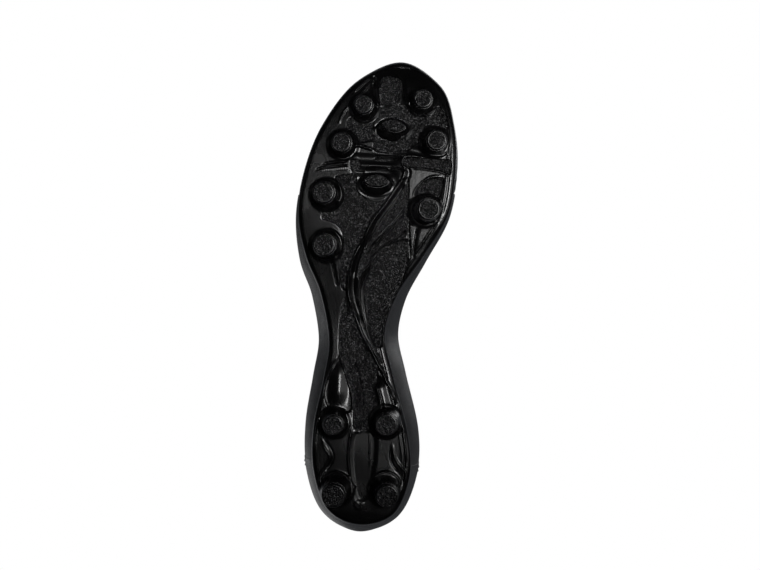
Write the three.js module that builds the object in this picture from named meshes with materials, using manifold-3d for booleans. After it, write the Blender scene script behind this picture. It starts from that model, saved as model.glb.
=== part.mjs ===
// Right-foot soccer cleat with thirteen moulded studs, built from its separate pieces.
// Millimetres. +Z up, ground at z = 0, toe towards -Y, heel towards +Y, medial side towards +X.
import * as THREE from 'three';
import { mergeVertices } from 'three/addons/utils/BufferGeometryUtils.js';
import Module from 'manifold-3d';

const wasm = await Module();
wasm.setup();

// ---------------------------------------------------------------- driving dimensions
const GAP = 0.3; // clearance kept between neighbouring pieces
const FLEX_Y = -79.5; // flex groove across the ball of the foot
const FLEX_Z = 14.6; // height of the living hinge, the plate's upper surface there
const CREASE_DEG = 26.5; // lean of the vamp's crease behind the flex line
const PLATE_T = 2.6; // outsole plate thickness
const RIM_H = 5.0; // height of the plate's rim above its underside
const RIM_W = 2.6; // width of that rim
const FEATHER_LEDGE = 0.8; // how far the plate's rim stands outside the upper's lower edge
const SHELL_T = 1.5; // upper material
const STAY_T = 2.6; // eyestay, punched for the lace
const LINING_T = 0.9;
const BOARD_T = 1.4; // lasting board
const SOCK_T = 3.6; // sockliner
const STATIONS = 24; // stations around the upper, 0 at the heel, 12 at the toe
const EYELET_ROWS = 6;
const EYELET_INSET = 7.5; // eyelet centre to throat edge
const EYELET_R = 2.9;
const LACE_R = 1;
const TONGUE_DEPTH = 6.4; // tongue face below the upper's outer surface
const TONGUE_OVERLAP = 13; // how far the tongue runs under each eyestay
const BRIDGE_RISE = 0.6; // how far the throat's bridge carries on along the upper's sides
const TONGUE_TOP_LENGTH = 27; // free end above the top lace row
const TONGUE_TOP_U = 5.12; // station of the tongue's hinge line

// The upper at each station. f: lower (feather) edge x, y. e: opening edge x, y, z.
// out, up: how the side leaves the feather edge. lean, drop: how it leaves the opening edge.
const UPPER = [
  { f: [6.1, 136], e: [6.1, 135.5, 84], out: 14, up: 22, lean: 4, drop: 22 }, // heel
  { f: [-12.9, 128.5], e: [-9.4, 126.5, 79], out: 12, up: 20, lean: 5, drop: 20 },
  { f: [-23.3, 106], e: [-21.4, 103, 68], out: 10, up: 18, lean: 6, drop: 17 },
  { f: [-25.4, 80], e: [-25.7, 79, 61], out: 10, up: 16, lean: 6, drop: 14 }, // lateral ankle
  { f: [-22, 52], e: [-24.9, 54, 68], out: 12, up: 17, lean: 6, drop: 17 },
  { f: [-20.7, 28], e: [-17.9, 30, 97], out: 13, up: 26, lean: 9, drop: 22 }, // throat top
  { f: [-28.2, 0], e: [-15.4, 4, 86.5], out: 14, up: 26, lean: 9, drop: 16 },
  { f: [-38.4, -20.5], e: [-11.4, -18, 77.5], out: 15, up: 24, lean: 6, drop: 12 },
  { f: [-45, -45], e: [-8.4, -34, 72.3], out: 10, up: 24, lean: 3, drop: 8 }, // lateral ball
  { f: [-43.2, -72], e: [-4.9, -42.5, 70], out: 7, up: 24, lean: 2, drop: 6 },
  { f: [-34.6, -100], e: [-1.4, -45.6, 69.2], out: 8, up: 23, lean: 2, drop: 6 },
  { f: [-17, -127.2], e: [1.1, -46.8, 69], out: 9, up: 22, lean: 3, drop: 7 },
  { f: [8.8, -140.9], e: [2.6, -47, 69], out: 14, up: 21, lean: 4, drop: 8 }, // toe
  { f: [32.6, -128.4], e: [4.1, -46.8, 69], out: 10, up: 22, lean: 3, drop: 7 },
  { f: [42, -106], e: [6.6, -45.6, 69.2], out: 8, up: 23, lean: 2, drop: 6 },
  { f: [45.1, -82], e: [9.6, -42.5, 70], out: 9.5, up: 24, lean: 2, drop: 6 },
  { f: [43, -52], e: [11.6, -34, 72.3], out: 8, up: 26, lean: 3, drop: 8 }, // medial ball
  { f: [30.2, -26], e: [12.1, -18, 77.5], out: 9, up: 28, lean: 6, drop: 13 },
  { f: [16.8, -2], e: [11.6, 4, 86.5], out: 11.5, up: 28, lean: 8, drop: 18 },
  { f: [11.4, 22], e: [12.1, 30, 97], out: 14, up: 28, lean: 9, drop: 24 }, // throat top
  { f: [18.2, 46], e: [21.6, 54, 69], out: 13, up: 18, lean: 8, drop: 18 },
  { f: [29.9, 80], e: [31.1, 79, 62.5], out: 12, up: 16, lean: 6, drop: 15 }, // medial ankle
  { f: [33.2, 105], e: [32.1, 103, 69], out: 9, up: 18, lean: 5, drop: 18 },
  { f: [25.4, 128], e: [21.4, 126.5, 79.5], out: 11, up: 20, lean: 4, drop: 20 },
];

// Underside of the outsole along the foot: heel seat, raised shank, ball, toe spring.
const UNDERSIDE = [
  [150, 17.5], [142, 14.6], [128, 12.2], [100, 12], [75, 12.6], [50, 14.8], [24, 16.8], [-2, 15.4],
  [-28, 12.4], [-52, 11.3], [-75, 11.8], [-95, 13], [-112, 15.6], [-126, 19.2], [-138, 24], [-150, 30],
];

// Studs: tip centre, tip height, tip radius, and how far the base sits from under the tip.
const STUDS = [
  { name: 'toe_lateral', at: [-12, -112.3], z: 4.6, r: 5.4, base: [0.5, 0.9] },
  { name: 'toe_medial', at: [22.8, -118.7], z: 5.6, r: 5.4, base: [-0.5, 0.9] },
  { name: 'second_lateral', at: [-23.2, -88.6], z: 1, r: 5.8, base: [1, 0.5] },
  { name: 'second_medial', at: [32.7, -94.7], z: 1.6, r: 5.8, base: [-1, 0.5] },
  { name: 'front_centre', at: [6.6, -101.3], z: 3.2, r: 7, lens: 3.3, turn: 4, base: [-0.2, 1.2] },
  { name: 'mid_centre', at: [-0.8, -68], z: 0.8, r: 7.2, lens: 3.5, turn: -3, base: [0.3, 2.2] },
  { name: 'third_lateral', at: [-31.1, -58.5], z: 0, r: 6.4, base: [1.6, 0.6] },
  { name: 'fourth_lateral', at: [-28.2, -28], z: 0, r: 6.6, base: [1.4, 0.2] },
  { name: 'third_medial', at: [31.4, -54], z: 0, r: 6.5, base: [-1.6, 0.8] },
  { name: 'heel_front_lateral', at: [-14, 77.4], z: 0, r: 6, base: [0.4, -0.9] },
  { name: 'heel_front_medial', at: [16.9, 74.3], z: 0, r: 6.6, base: [0, -0.9] },
  { name: 'heel_rear_lateral', at: [-10.5, 118.5], z: 0, r: 6.9, base: [1.5, -2.6] },
  { name: 'heel_rear_medial', at: [20.8, 115.9], z: 0, r: 6.7, base: [-1, -2.4] },
];
const STUD_SIDES = 16;
const TIP_H = 2.6; // height of a stud's wear tip
const STUD_FLARE = 2.3; // how much wider a stud is at the plate than at its tip

// ---------------------------------------------------------------- materials
const paint = (color, roughness) => new THREE.MeshStandardMaterial({ color, roughness, metalness: 0 });
const MATERIALS = {
  plate: paint(0x141416, 0.3),
  tip: paint(0x19191b, 0.6),
  shell: paint(0x1c1c1e, 0.5),
  overlay: paint(0x161618, 0.4),
  stiffener: paint(0xb9b4a6, 0.8),
  lining: paint(0x202022, 0.9),
  foam: paint(0x2b2b2e, 0.9),
  board: paint(0x8f8a7c, 0.9),
  lace: paint(0x121213, 0.9),
};

// ---------------------------------------------------------------- small maths
const lerp = THREE.MathUtils.lerp;
const vector = (x, y, z) => new THREE.Vector3(x, y, z);

// Catmull-Rom between four neighbouring values.
function spline(a, b, c, d, t) {
  const slopeIn = (c - a) / 2;
  const slopeOut = (d - b) / 2;
  const cubic = 2 * b - 2 * c + slopeIn + slopeOut;
  const square = -3 * b + 3 * c - 2 * slopeIn - slopeOut;
  return ((cubic * t + square) * t + slopeIn) * t + b;
}

// A value picked from every station, followed smoothly around the closed ring.
function around(pick, u) {
  const i = Math.floor(u);
  const at = (k) => pick(UPPER[(((i + k) % STATIONS) + STATIONS) % STATIONS]);
  return spline(at(-1), at(0), at(1), at(2), u - i);
}

// Height of the outsole's underside at y.
function underside(y) {
  const last = UNDERSIDE.length - 3;
  let i = 1;
  while (i < last && y < UNDERSIDE[i + 1][0]) i++;
  const [near, far] = [UNDERSIDE[i], UNDERSIDE[i + 1]];
  const t = THREE.MathUtils.clamp((near[0] - y) / (near[0] - far[0]), 0, 1);
  return spline(UNDERSIDE[i - 1][1], near[1], far[1], UNDERSIDE[i + 2][1], t);
}

// ---------------------------------------------------------------- the upper's surface
// Point on the feather edge in plan, and the direction that faces away from the foot there.
function feather(u) {
  const step = 0.02;
  const x = (t) => around((s) => s.f[0], t);
  const y = (t) => around((s) => s.f[1], t);
  const along = vector(x(u + step) - x(u - step), y(u + step) - y(u - step), 0).normalize();
  return { x: x(u), y: y(u), away: vector(along.y, -along.x, 0) };
}

// The four control points of the upper's section at station u, from feather edge to opening edge.
function section(u) {
  const { x, y, away } = feather(u);
  const low = vector(x, y, underside(y) + RIM_H + GAP);
  const top = vector(...[0, 1, 2].map((k) => around((s) => s.e[k], u)));
  const lowHandle = low.clone().addScaledVector(away, around((s) => s.out, u));
  lowHandle.z += around((s) => s.up, u);
  const reach = vector(low.x - top.x, low.y - top.y, 0).multiplyScalar(0.55);
  const topHandle = top.clone().add(reach).addScaledVector(away, around((s) => s.lean, u));
  topHandle.z -= around((s) => s.drop, u);
  return [low, lowHandle, topHandle, top];
}

// Outer surface of the upper: u around the foot, v from feather edge (0) to opening edge (1).
const upper = (u, v) => new THREE.CubicBezierCurve3(...section(u)).getPoint(v);

// v of the line that runs a given width below the opening edge.
function belowEdge(u, width) {
  const [, , handle, top] = section(u);
  return 1 - width / (3 * handle.distanceTo(top));
}

// Any surface moved inwards along its own normal.
function inward(surface, a, b, depth) {
  const step = 0.004;
  const alongA = surface(a + step, b).sub(surface(a - step, b));
  const alongB = surface(a, b + step).sub(surface(a, b - step));
  return surface(a, b).addScaledVector(alongA.cross(alongB).normalize(), -depth);
}

// ---------------------------------------------------------------- solids
const toSolid = (geometry) => {
  const bare = geometry.clone();
  bare.deleteAttribute('normal');
  bare.deleteAttribute('uv');
  const merged = mergeVertices(bare, 1e-4);
  const mesh = new wasm.Mesh({
    numProp: 3,
    vertProperties: new Float32Array(merged.attributes.position.array),
    triVerts: new Uint32Array(merged.index.array),
  });
  return new wasm.Manifold(mesh);
};

const toGeometry = (solid) => {
  const mesh = solid.getMesh();
  const geometry = new THREE.BufferGeometry();
  geometry.setAttribute('position', new THREE.BufferAttribute(mesh.vertProperties, 3));
  geometry.setIndex(new THREE.BufferAttribute(mesh.triVerts, 1));
  return geometry;
};

// Closed solid between two matching grids, outer(a, b) and inner(a, b), with a and b from 0 to 1.
function sheetSolid(na, nb, outer, inner) {
  const points = [];
  const index = [];
  const id = (side, i, j) => side * (na + 1) * (nb + 1) + i * (nb + 1) + j;
  for (const face of [outer, inner])
    for (let i = 0; i <= na; i++)
      for (let j = 0; j <= nb; j++) points.push(...face(i / na, j / nb).toArray());
  const quad = (a, b, c, d) => index.push(a, b, c, a, c, d);
  for (let i = 0; i < na; i++) {
    for (let j = 0; j < nb; j++) {
      quad(id(0, i, j), id(0, i + 1, j), id(0, i + 1, j + 1), id(0, i, j + 1));
      quad(id(1, i, j), id(1, i, j + 1), id(1, i + 1, j + 1), id(1, i + 1, j));
    }
    quad(id(0, i, 0), id(1, i, 0), id(1, i + 1, 0), id(0, i + 1, 0));
    quad(id(0, i, nb), id(0, i + 1, nb), id(1, i + 1, nb), id(1, i, nb));
  }
  for (let j = 0; j < nb; j++) {
    quad(id(0, 0, j), id(0, 0, j + 1), id(1, 0, j + 1), id(1, 0, j));
    quad(id(0, na, j), id(1, na, j), id(1, na, j + 1), id(0, na, j + 1));
  }
  const geometry = new THREE.BufferGeometry();
  geometry.setAttribute('position', new THREE.Float32BufferAttribute(points, 3));
  geometry.setIndex(index);
  return geometry;
}

// A piece of the upper: stations from..to, v between two lines, depths near..far below the outer surface.
function panel({ from, to, low = () => 0, high = () => 1, near = 0, far = SHELL_T, na, nb }) {
  const face = (depth) => (a, b) => {
    const u = lerp(from, to, a);
    return inward(upper, u, lerp(low(u), high(u), b), depth);
  };
  return toSolid(sheetSolid(na, nb, face(near), face(far)));
}

// Solid with the given (y, z) outline, wide enough across x to cut anything.
function sideBlock(outline, halfWidth = 90) {
  const shape = new THREE.Shape(outline.map(([y, z]) => new THREE.Vector2(y, z)));
  const geometry = new THREE.ExtrudeGeometry(shape, { depth: 2 * halfWidth, bevelEnabled: false });
  geometry.applyMatrix4(new THREE.Matrix4().set(0, 0, 1, -halfWidth, 1, 0, 0, 0, 0, 1, 0, 0, 0, 0, 0, 1));
  return toSolid(geometry);
}

// Upright prism of the foot's outline, set in from the plate's edge by inset.
function outlinePrism(inset, count = 52) {
  const points = [];
  for (let i = 0; i < count; i++) {
    const { x, y, away } = feather((i / count) * STATIONS);
    const shift = FEATHER_LEDGE - inset;
    points.push(new THREE.Vector2(x + away.x * shift, y + away.y * shift));
  }
  const geometry = new THREE.ExtrudeGeometry(new THREE.Shape(points), {
    depth: 140,
    bevelEnabled: false,
  });
  return toSolid(geometry);
}

// Slab that follows the underside, from low to high above it.
function slab(low, high) {
  const steps = 26;
  const at = (i, rise) => {
    const y = lerp(146, -146, i / steps);
    return [y, underside(y) + rise];
  };
  const indices = Array.from({ length: steps + 1 }, (_, i) => i);
  const bottom = indices.map((i) => at(i, low));
  const top = indices.reverse().map((i) => at(i, high));
  return sideBlock([...bottom, ...top]);
}

const layer = (inset, low, high) => outlinePrism(inset).intersect(slab(low, high));

// ---------------------------------------------------------------- the flex line
const leanAt = (z) => FLEX_Y + (z - FLEX_Z) * Math.tan(THREE.MathUtils.degToRad(CREASE_DEG));
const toeSide = sideBlock([
  [-200, -10], [FLEX_Y - GAP / 2, -10], [FLEX_Y - GAP / 2, 160], [-200, 160],
]);
const rearSide = sideBlock([
  [200, 160], [leanAt(160) + GAP, 160], [FLEX_Y + GAP, FLEX_Z], [FLEX_Y + GAP / 2, FLEX_Z],
  [FLEX_Y + GAP / 2, -10], [200, -10],
]);
const creaseZone = sideBlock([
  [FLEX_Y + GAP / 2, FLEX_Z + 1.5], [leanAt(FLEX_Z + 1.5) - GAP / 4, FLEX_Z + 1.5],
  [leanAt(160) - GAP / 4, 160], [FLEX_Y + GAP / 2, 160],
]);

// ---------------------------------------------------------------- assembly
const cleat = new THREE.Group();
function add(name, solid, material) {
  const mesh = new THREE.Mesh(toGeometry(solid), MATERIALS[material]);
  mesh.name = name;
  cleat.add(mesh);
}

// ---------------------------------------------------------------- studs
// One ring of a stud: a circle, or a lens with two pointed ends where lens gives its half width.
function studRing(stud, x, y, z, grow, count) {
  const turn = THREE.MathUtils.degToRad(stud.turn ?? 0);
  return Array.from({ length: count }, (_, i) => {
    const angle = (2 * Math.PI * i) / count;
    const across = (stud.r + grow) * Math.cos(angle);
    const half = (stud.lens ?? stud.r) + grow;
    const along = stud.lens ? half * Math.sin(angle) * Math.abs(Math.sin(angle)) ** 0.3 : half * Math.sin(angle);
    return vector(
      x + across * Math.cos(turn) - along * Math.sin(turn),
      y + across * Math.sin(turn) + along * Math.cos(turn),
      z,
    );
  });
}

// Closed solid through a stack of rings, lowest first.
function ringStack(rings) {
  const count = rings[0].length;
  const points = rings.flat().flatMap((p) => p.toArray());
  const index = [];
  for (let r = 0; r + 1 < rings.length; r++)
    for (let i = 0; i < count; i++) {
      const [a, b] = [r * count + i, r * count + ((i + 1) % count)];
      index.push(a, b, b + count, a, b + count, a + count);
    }
  const last = (rings.length - 1) * count;
  for (let i = 1; i + 1 < count; i++) index.push(0, i + 1, i, last, last + i, last + i + 1);
  const geometry = new THREE.BufferGeometry();
  geometry.setAttribute('position', new THREE.Float32BufferAttribute(points, 3));
  geometry.setIndex(index);
  return toSolid(geometry);
}

// A stud below its base ring, which lies within the plate and follows its slope.
function studShank(stud) {
  const [x, y] = stud.at;
  const count = STUD_SIDES;
  const baseZ = underside(y) + PLATE_T / 2;
  const shoulder = stud.z + TIP_H + GAP;
  const [baseX, baseY] = [x + stud.base[0], y + stud.base[1]];
  const share = (shoulder - stud.z) / (baseZ - stud.z);
  return ringStack([
    studRing(stud, lerp(x, baseX, share), lerp(y, baseY, share), shoulder, STUD_FLARE * share * 0.6, count),
    studRing(stud, lerp(x, baseX, 0.75), lerp(y, baseY, 0.75), lerp(stud.z, baseZ, 0.75), STUD_FLARE * 0.6, count),
    studRing(stud, baseX, baseY, baseZ, STUD_FLARE, count).map((p) => p.setZ(underside(p.y) + PLATE_T / 2)),
  ]);
}

function studTip(stud) {
  const [x, y] = stud.at;
  const count = STUD_SIDES;
  return ringStack([
    studRing(stud, x, y, stud.z, -0.5, count),
    studRing(stud, x, y, stud.z + 0.5, 0, count),
    studRing(stud, x + stud.base[0] * 0.2, y + stud.base[1] * 0.2, stud.z + TIP_H, 0.25, count),
  ]);
}

// ---------------------------------------------------------------- outsole, board and sockliner
function outsolePlate() {
  const floor = layer(0, 0, PLATE_T);
  const rim = layer(0, PLATE_T / 2, RIM_H).subtract(outlinePrism(RIM_W));
  return STUDS.reduce((solid, stud) => solid.add(studShank(stud)), floor.add(rim));
}

function addSole() {
  const plate = outsolePlate();
  add('outsole_toe', plate.intersect(toeSide), 'plate');
  add('outsole_rear', plate.intersect(rearSide), 'plate');
  for (const stud of STUDS) add(`stud_tip_${stud.name}`, studTip(stud), 'tip');

  const boardLow = PLATE_T + GAP;
  const board = layer(RIM_W + GAP, boardLow, boardLow + BOARD_T);
  add('lasting_board_toe', board.intersect(toeSide), 'board');
  add('lasting_board_rear', board.intersect(rearSide), 'board');

  const sockLow = boardLow + BOARD_T + GAP + 0.3;
  const sock = layer(FEATHER_LEDGE + 5.2, sockLow, sockLow + SOCK_T);
  const padRoom = heelPad(0, sockLow - 1, sockLow + 1.8 + GAP);
  add('sockliner_toe', sock.intersect(toeSide), 'lining');
  add('sockliner_rear', sock.intersect(rearSide).subtract(padRoom), 'lining');
  add('heel_cushion', heelPad(GAP, sockLow, sockLow + 1.8), 'foam');
}

// Oval shock pad let into the underside of the sockliner at the heel.
function heelPad(inset, low, high) {
  const outline = new THREE.Shape();
  outline.absellipse(3.6, 97, 17 - inset, 25 - inset, 0, 2 * Math.PI);
  const geometry = new THREE.ExtrudeGeometry(outline, { depth: 60, bevelEnabled: false, curveSegments: 12 });
  return toSolid(geometry).intersect(slab(low, high));
}

// ---------------------------------------------------------------- upper
const VAMP_END = { lateral: 8.45, medial: 15.55 }; // stations where the vamp meets the quarters
const HEEL_END = { lateral: 2.2, medial: 21.8 }; // stations where the quarters meet the heel panel
const EYESTAY_END = { lateral: 4.86, medial: 19.14 };
const BUTT = 0.02; // stations left between panels that meet edge to edge

// The eyestay's width narrows from the throat's sides to its foot.
const stayWidth = (u) => lerp(5.4, 15, THREE.MathUtils.smoothstep(Math.abs(u - 12), 1, 5));
const stayLine = (u) => belowEdge(u, stayWidth(u));
const stayGapLine = (u) => belowEdge(u, stayWidth(u) + GAP + 0.3);

function addVamp() {
  const outer = panel({
    from: VAMP_END.lateral + BUTT, to: VAMP_END.medial - BUTT, high: stayGapLine, na: 22, nb: 8,
  });
  add('vamp_toe', outer.intersect(toeSide), 'shell');
  add('vamp_rear', outer.intersect(rearSide), 'shell');
  const crease = panel({
    from: VAMP_END.lateral + BUTT, to: VAMP_END.medial - BUTT, high: stayGapLine, far: SHELL_T + 1.2,
    na: 22, nb: 8,
  });
  add('vamp_crease', crease.intersect(creaseZone), 'shell');

  const lining = panel({
    from: VAMP_END.lateral + BUTT, to: VAMP_END.medial - BUTT, high: stayGapLine,
    near: 3.5, far: 3.5 + LINING_T, na: 18, nb: 6,
  });
  add('vamp_lining_toe', lining.intersect(toeSide), 'lining');
  add('vamp_lining_rear', lining.intersect(rearSide), 'lining');

  const puff = panel({
    from: 9.6, to: 14.4, low: () => 0.02, high: () => 0.5, near: 2.2, far: 3.1 - GAP / 2,
    na: 16, nb: 5,
  });
  const toeEnd = sideBlock([[-200, -10], [-98, -10], [-98, 160], [-200, 160]]);
  add('toe_puff', puff.intersect(toeEnd), 'stiffener');
}

function addSide(side, from, to, stayStart) {
  add(`quarter_${side}`, quarterPanel(from, stayStart, to), 'shell');
  const lining = panel({
    from, to, high: () => 0.66, near: 4, far: 4 + LINING_T, na: 12, nb: 4,
  });
  add(`quarter_lining_${side}`, lining, 'lining');
}

// A quarter is one panel with the eyestay's place left out.
function quarterPanel(from, corner, to) {
  const full = panel({ from, to, high: () => 1, na: 16, nb: 7 });
  const [low, top] = corner < 12 ? [corner - BUTT, 9] : [15, corner + BUTT];
  const notch = panel({
    from: low, to: top, low: stayGapLine, high: () => 1.05, near: -3, far: 6, na: 12, nb: 1,
  });
  return full.subtract(notch);
}

// Both halves of the eyestay meet at the foot of the throat. Each has a row of punched eyelets.
const eyeletStation = (row) => lerp(8.15, 5.3, row / (EYELET_ROWS - 1));
const eyelet = (side, row) => {
  const u = side === 'lateral' ? eyeletStation(row) : STATIONS - eyeletStation(row);
  return { u, v: belowEdge(u, EYELET_INSET) };
};

function eyeletPunch(side, row) {
  const { u, v } = eyelet(side, row);
  const [outside, inside] = [inward(upper, u, v, -4), inward(upper, u, v, 8)];
  const punch = new THREE.CylinderGeometry(EYELET_R, EYELET_R, outside.distanceTo(inside), 10);
  const turn = new THREE.Quaternion().setFromUnitVectors(
    vector(0, 1, 0), outside.clone().sub(inside).normalize());
  punch.applyQuaternion(turn);
  punch.translate(...outside.add(inside).multiplyScalar(0.5).toArray());
  return toSolid(punch);
}

function addEyestay(side, from, to) {
  const blank = panel({ from, to, low: stayLine, high: () => 1, far: STAY_T, na: 20, nb: 3 });
  let solid = blank;
  for (let row = 0; row < EYELET_ROWS; row++) solid = solid.subtract(eyeletPunch(side, row));
  add(`eyestay_${side}`, solid, 'overlay');
}

function addHeelAndCollar() {
  add('heel_panel', panel({
    from: HEEL_END.medial + BUTT, to: STATIONS + HEEL_END.lateral - BUTT, na: 12, nb: 7,
  }), 'shell');
  add('heel_counter', panel({
    from: 21.2, to: 26.8, low: () => 0.03, high: () => 0.56,
    near: 2.2, far: 3.4, na: 14, nb: 5,
  }), 'stiffener');
  const collar = { from: 19.5, to: 28.5, low: () => 0.69, high: () => 0.98, na: 20, nb: 3 };
  add('collar_foam', panel({ ...collar, near: 2.2, far: 6 }), 'foam');
  add('collar_lining', panel({ ...collar, near: 6 + GAP, far: 7.2 }), 'lining');
}

// Webbing loop that stands over the back of the collar, one leg outside the heel panel and one inside.
function addPullTab() {
  const legOut = inward(upper, 0, 0.82, -GAP - 0.2);
  const topOut = inward(upper, 0, 0.985, -GAP - 0.2);
  const legIn = inward(upper, 0, 0.945, 7.2 + 3.3);
  const topIn = inward(upper, 0, 0.985, 7.2 + 3.1);
  const loop = new THREE.Shape();
  const thick = 1;
  const crest = topOut.z + 5;
  loop.moveTo(legOut.y, legOut.z);
  loop.lineTo(topOut.y, topOut.z);
  loop.bezierCurveTo(topOut.y, crest - thick, topIn.y, crest - thick, topIn.y, topIn.z);
  loop.lineTo(legIn.y, legIn.z);
  loop.lineTo(legIn.y - thick, legIn.z);
  loop.lineTo(topIn.y - thick, topIn.z);
  loop.bezierCurveTo(topIn.y - thick, crest + 1, topOut.y + thick, crest + 1, topOut.y + thick, topOut.z);
  loop.lineTo(legOut.y + thick, legOut.z);
  const halfWidth = 6;
  const geometry = new THREE.ExtrudeGeometry(loop, { depth: 2 * halfWidth, bevelEnabled: false, curveSegments: 6 });
  geometry.applyMatrix4(new THREE.Matrix4().set(0, 0, 1, legOut.x - halfWidth, 1, 0, 0, 0, 0, 1, 0, 0, 0, 0, 0, 1));
  add('heel_pull_tab', toSolid(geometry), 'overlay');
}

// ---------------------------------------------------------------- tongue and lace
// Surface that closes the throat, from its lateral edge (w = -1) to its medial edge (w = 1), and
// runs on under the eyestays beyond them. u is the lateral station.
function throat(u, w) {
  const beyond = Math.abs(w) - 1;
  const side = w < 0 ? u : STATIONS - u;
  if (beyond > 0) return upper(side, belowEdge(side, beyond * TONGUE_OVERLAP));
  const [lateral, medial] = [section(u), section(STATIONS - u)];
  const width = lateral[3].distanceTo(medial[3]);
  const lift = (edge, handle) => {
    const away = edge.clone().sub(handle).setY(0);
    return edge.clone().addScaledVector(away, Math.min(BRIDGE_RISE, 0.35 * width / away.length()));
  };
  const bridge = new THREE.CubicBezierCurve3(
    lateral[3], lift(lateral[3], lateral[2]), lift(medial[3], medial[2]), medial[3]);
  return bridge.getPoint((w + 1) / 2);
}

// The tongue's own surface: s from its foot (0) to the hinge line (1) and on to its free end (2).
// Past the hinge line it leaves along the instep and curls upright.
const tongueRise = (beyond) => vector(0, 0.93, 0.39).multiplyScalar(beyond)
  .add(vector(0, -0.4, 0.42).multiplyScalar(beyond ** 2))
  .multiplyScalar(TONGUE_TOP_LENGTH);
function tongueFace(w, s) {
  const low = throat(lerp(9.2, TONGUE_TOP_U, Math.min(s, 1)), w);
  if (s <= 1) return low;
  const beyond = s - 1;
  const fan = THREE.MathUtils.smoothstep(beyond, 0.48, 1.15);
  const crown = throat(TONGUE_TOP_U, 0);
  const flat = vector(crown.x + w * 16, crown.y, crown.z - 1.6 * w * w);
  return low.lerp(flat, fan).add(tongueRise(beyond));
}

function tonguePiece(fromS, toS, near, far, na, nb) {
  const reach = 1.85;
  const face = (depth) => (a, b) => {
    const w = lerp(-reach, reach, a);
    const rounding = toS > 1 ? 1 - 0.28 * Math.max(0, b - 0.5) * Math.abs(w / reach) ** 3 : 1;
    return inward(tongueFace, w, lerp(fromS, toS, b * rounding), depth);
  };
  return toSolid(sheetSolid(na, nb, face(near), face(far)));
}

function addTongue() {
  const padNear = TONGUE_DEPTH + 1.2 + GAP;
  const padFar = padNear + 3.6;
  add('tongue_face', tonguePiece(0, 0.985, TONGUE_DEPTH, TONGUE_DEPTH + 1.2, 10, 14), 'shell');
  add('tongue_padding', tonguePiece(0, 0.985, padNear, padFar, 10, 14), 'foam');
  add('tongue_top_face', tonguePiece(1.015, 2, TONGUE_DEPTH, TONGUE_DEPTH + 1.2, 10, 4), 'shell');
  add('tongue_top_padding', tonguePiece(1.015, 2, padNear, padFar, 10, 4), 'foam');
}

// A webbing keeper sewn to the tongue's middle, which the lace passes under.
function addTongueLoop() {
  const [nearS, farS] = [0.59, 0.65];
  const face = (depth) => (a, b) => inward(tongueFace, lerp(-0.42, 0.42, a), lerp(nearS, farS, b),
    depth - 0.35 * (1 - (2 * a - 1) ** 4));
  const solid = toSolid(sheetSolid(8, 2, face(TONGUE_DEPTH - GAP - 0.9), face(TONGUE_DEPTH - GAP)));
  add('tongue_loop', solid, 'overlay');
}

// One lace, laced straight across: over the tongue in a bar, through an eyelet, up to the next row
// under the eyestay, and back. Both ends are tucked inside.
function lacePath() {
  const under = STAY_T + 1.1 + LACE_R;
  const over = -(LACE_R + 1.1);
  const barDepth = TONGUE_DEPTH - GAP - LACE_R - 0.7;
  const points = [];
  for (let row = 0; row < EYELET_ROWS; row++) {
    const order = row % 2 ? ['medial', 'lateral'] : ['lateral', 'medial'];
    const [start, end] = order.map((side) => eyelet(side, row));
    const rowU = eyeletStation(row);
    const sign = row % 2 ? 1 : -1;
    const hop = 0.16;
    points.push(inward(upper, start.u - hop * stepSign(order[0]), start.v, under));
    points.push(inward(upper, start.u, start.v, 1.2));
    points.push(inward(upper, start.u, start.v + 0.03, over));
    for (const w of [1.02, 0.55, 0, -0.55, -1.02]) {
      const depth = lerp(barDepth, over, THREE.MathUtils.smoothstep(Math.abs(w), 0.35, 1));
      points.push(inward((a, b) => throat(-b, a), w * sign, -rowU, depth));
    }
    points.push(inward(upper, end.u, end.v + 0.03, over));
    points.push(inward(upper, end.u, end.v, 1.2));
    points.push(inward(upper, end.u + hop * stepSign(order[1]), end.v, under));
  }
  return new THREE.CatmullRomCurve3(points, false, 'centripetal');
}

// Station direction that leads up the throat on each side.
const stepSign = (side) => (side === 'lateral' ? -1 : 1);

function addLace() {
  const circle = new THREE.Shape();
  circle.absarc(0, 0, LACE_R, 0, 2 * Math.PI);
  const geometry = new THREE.ExtrudeGeometry(circle, {
    extrudePath: lacePath(), steps: 120, curveSegments: 3, bevelEnabled: false,
  });
  add('lace', toSolid(geometry), 'lace');
}

addSole();
addVamp();
addSide('lateral', HEEL_END.lateral + BUTT, VAMP_END.lateral - BUTT, EYESTAY_END.lateral);
addSide('medial', VAMP_END.medial + BUTT, HEEL_END.medial - BUTT, EYESTAY_END.medial);
addEyestay('lateral', EYESTAY_END.lateral + BUTT, 12 - BUTT * 4);
addEyestay('medial', 12 + BUTT * 4, EYESTAY_END.medial - BUTT);
addHeelAndCollar();
addPullTab();
addTongue();
addTongueLoop();
addLace();

export default cleat;
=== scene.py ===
"""Right-foot soccer cleat, seen from below: the visible model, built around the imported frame."""
import math

import bmesh
import bpy
import numpy as np
from mathutils import Matrix, Vector
from mathutils.kdtree import KDTree


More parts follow.
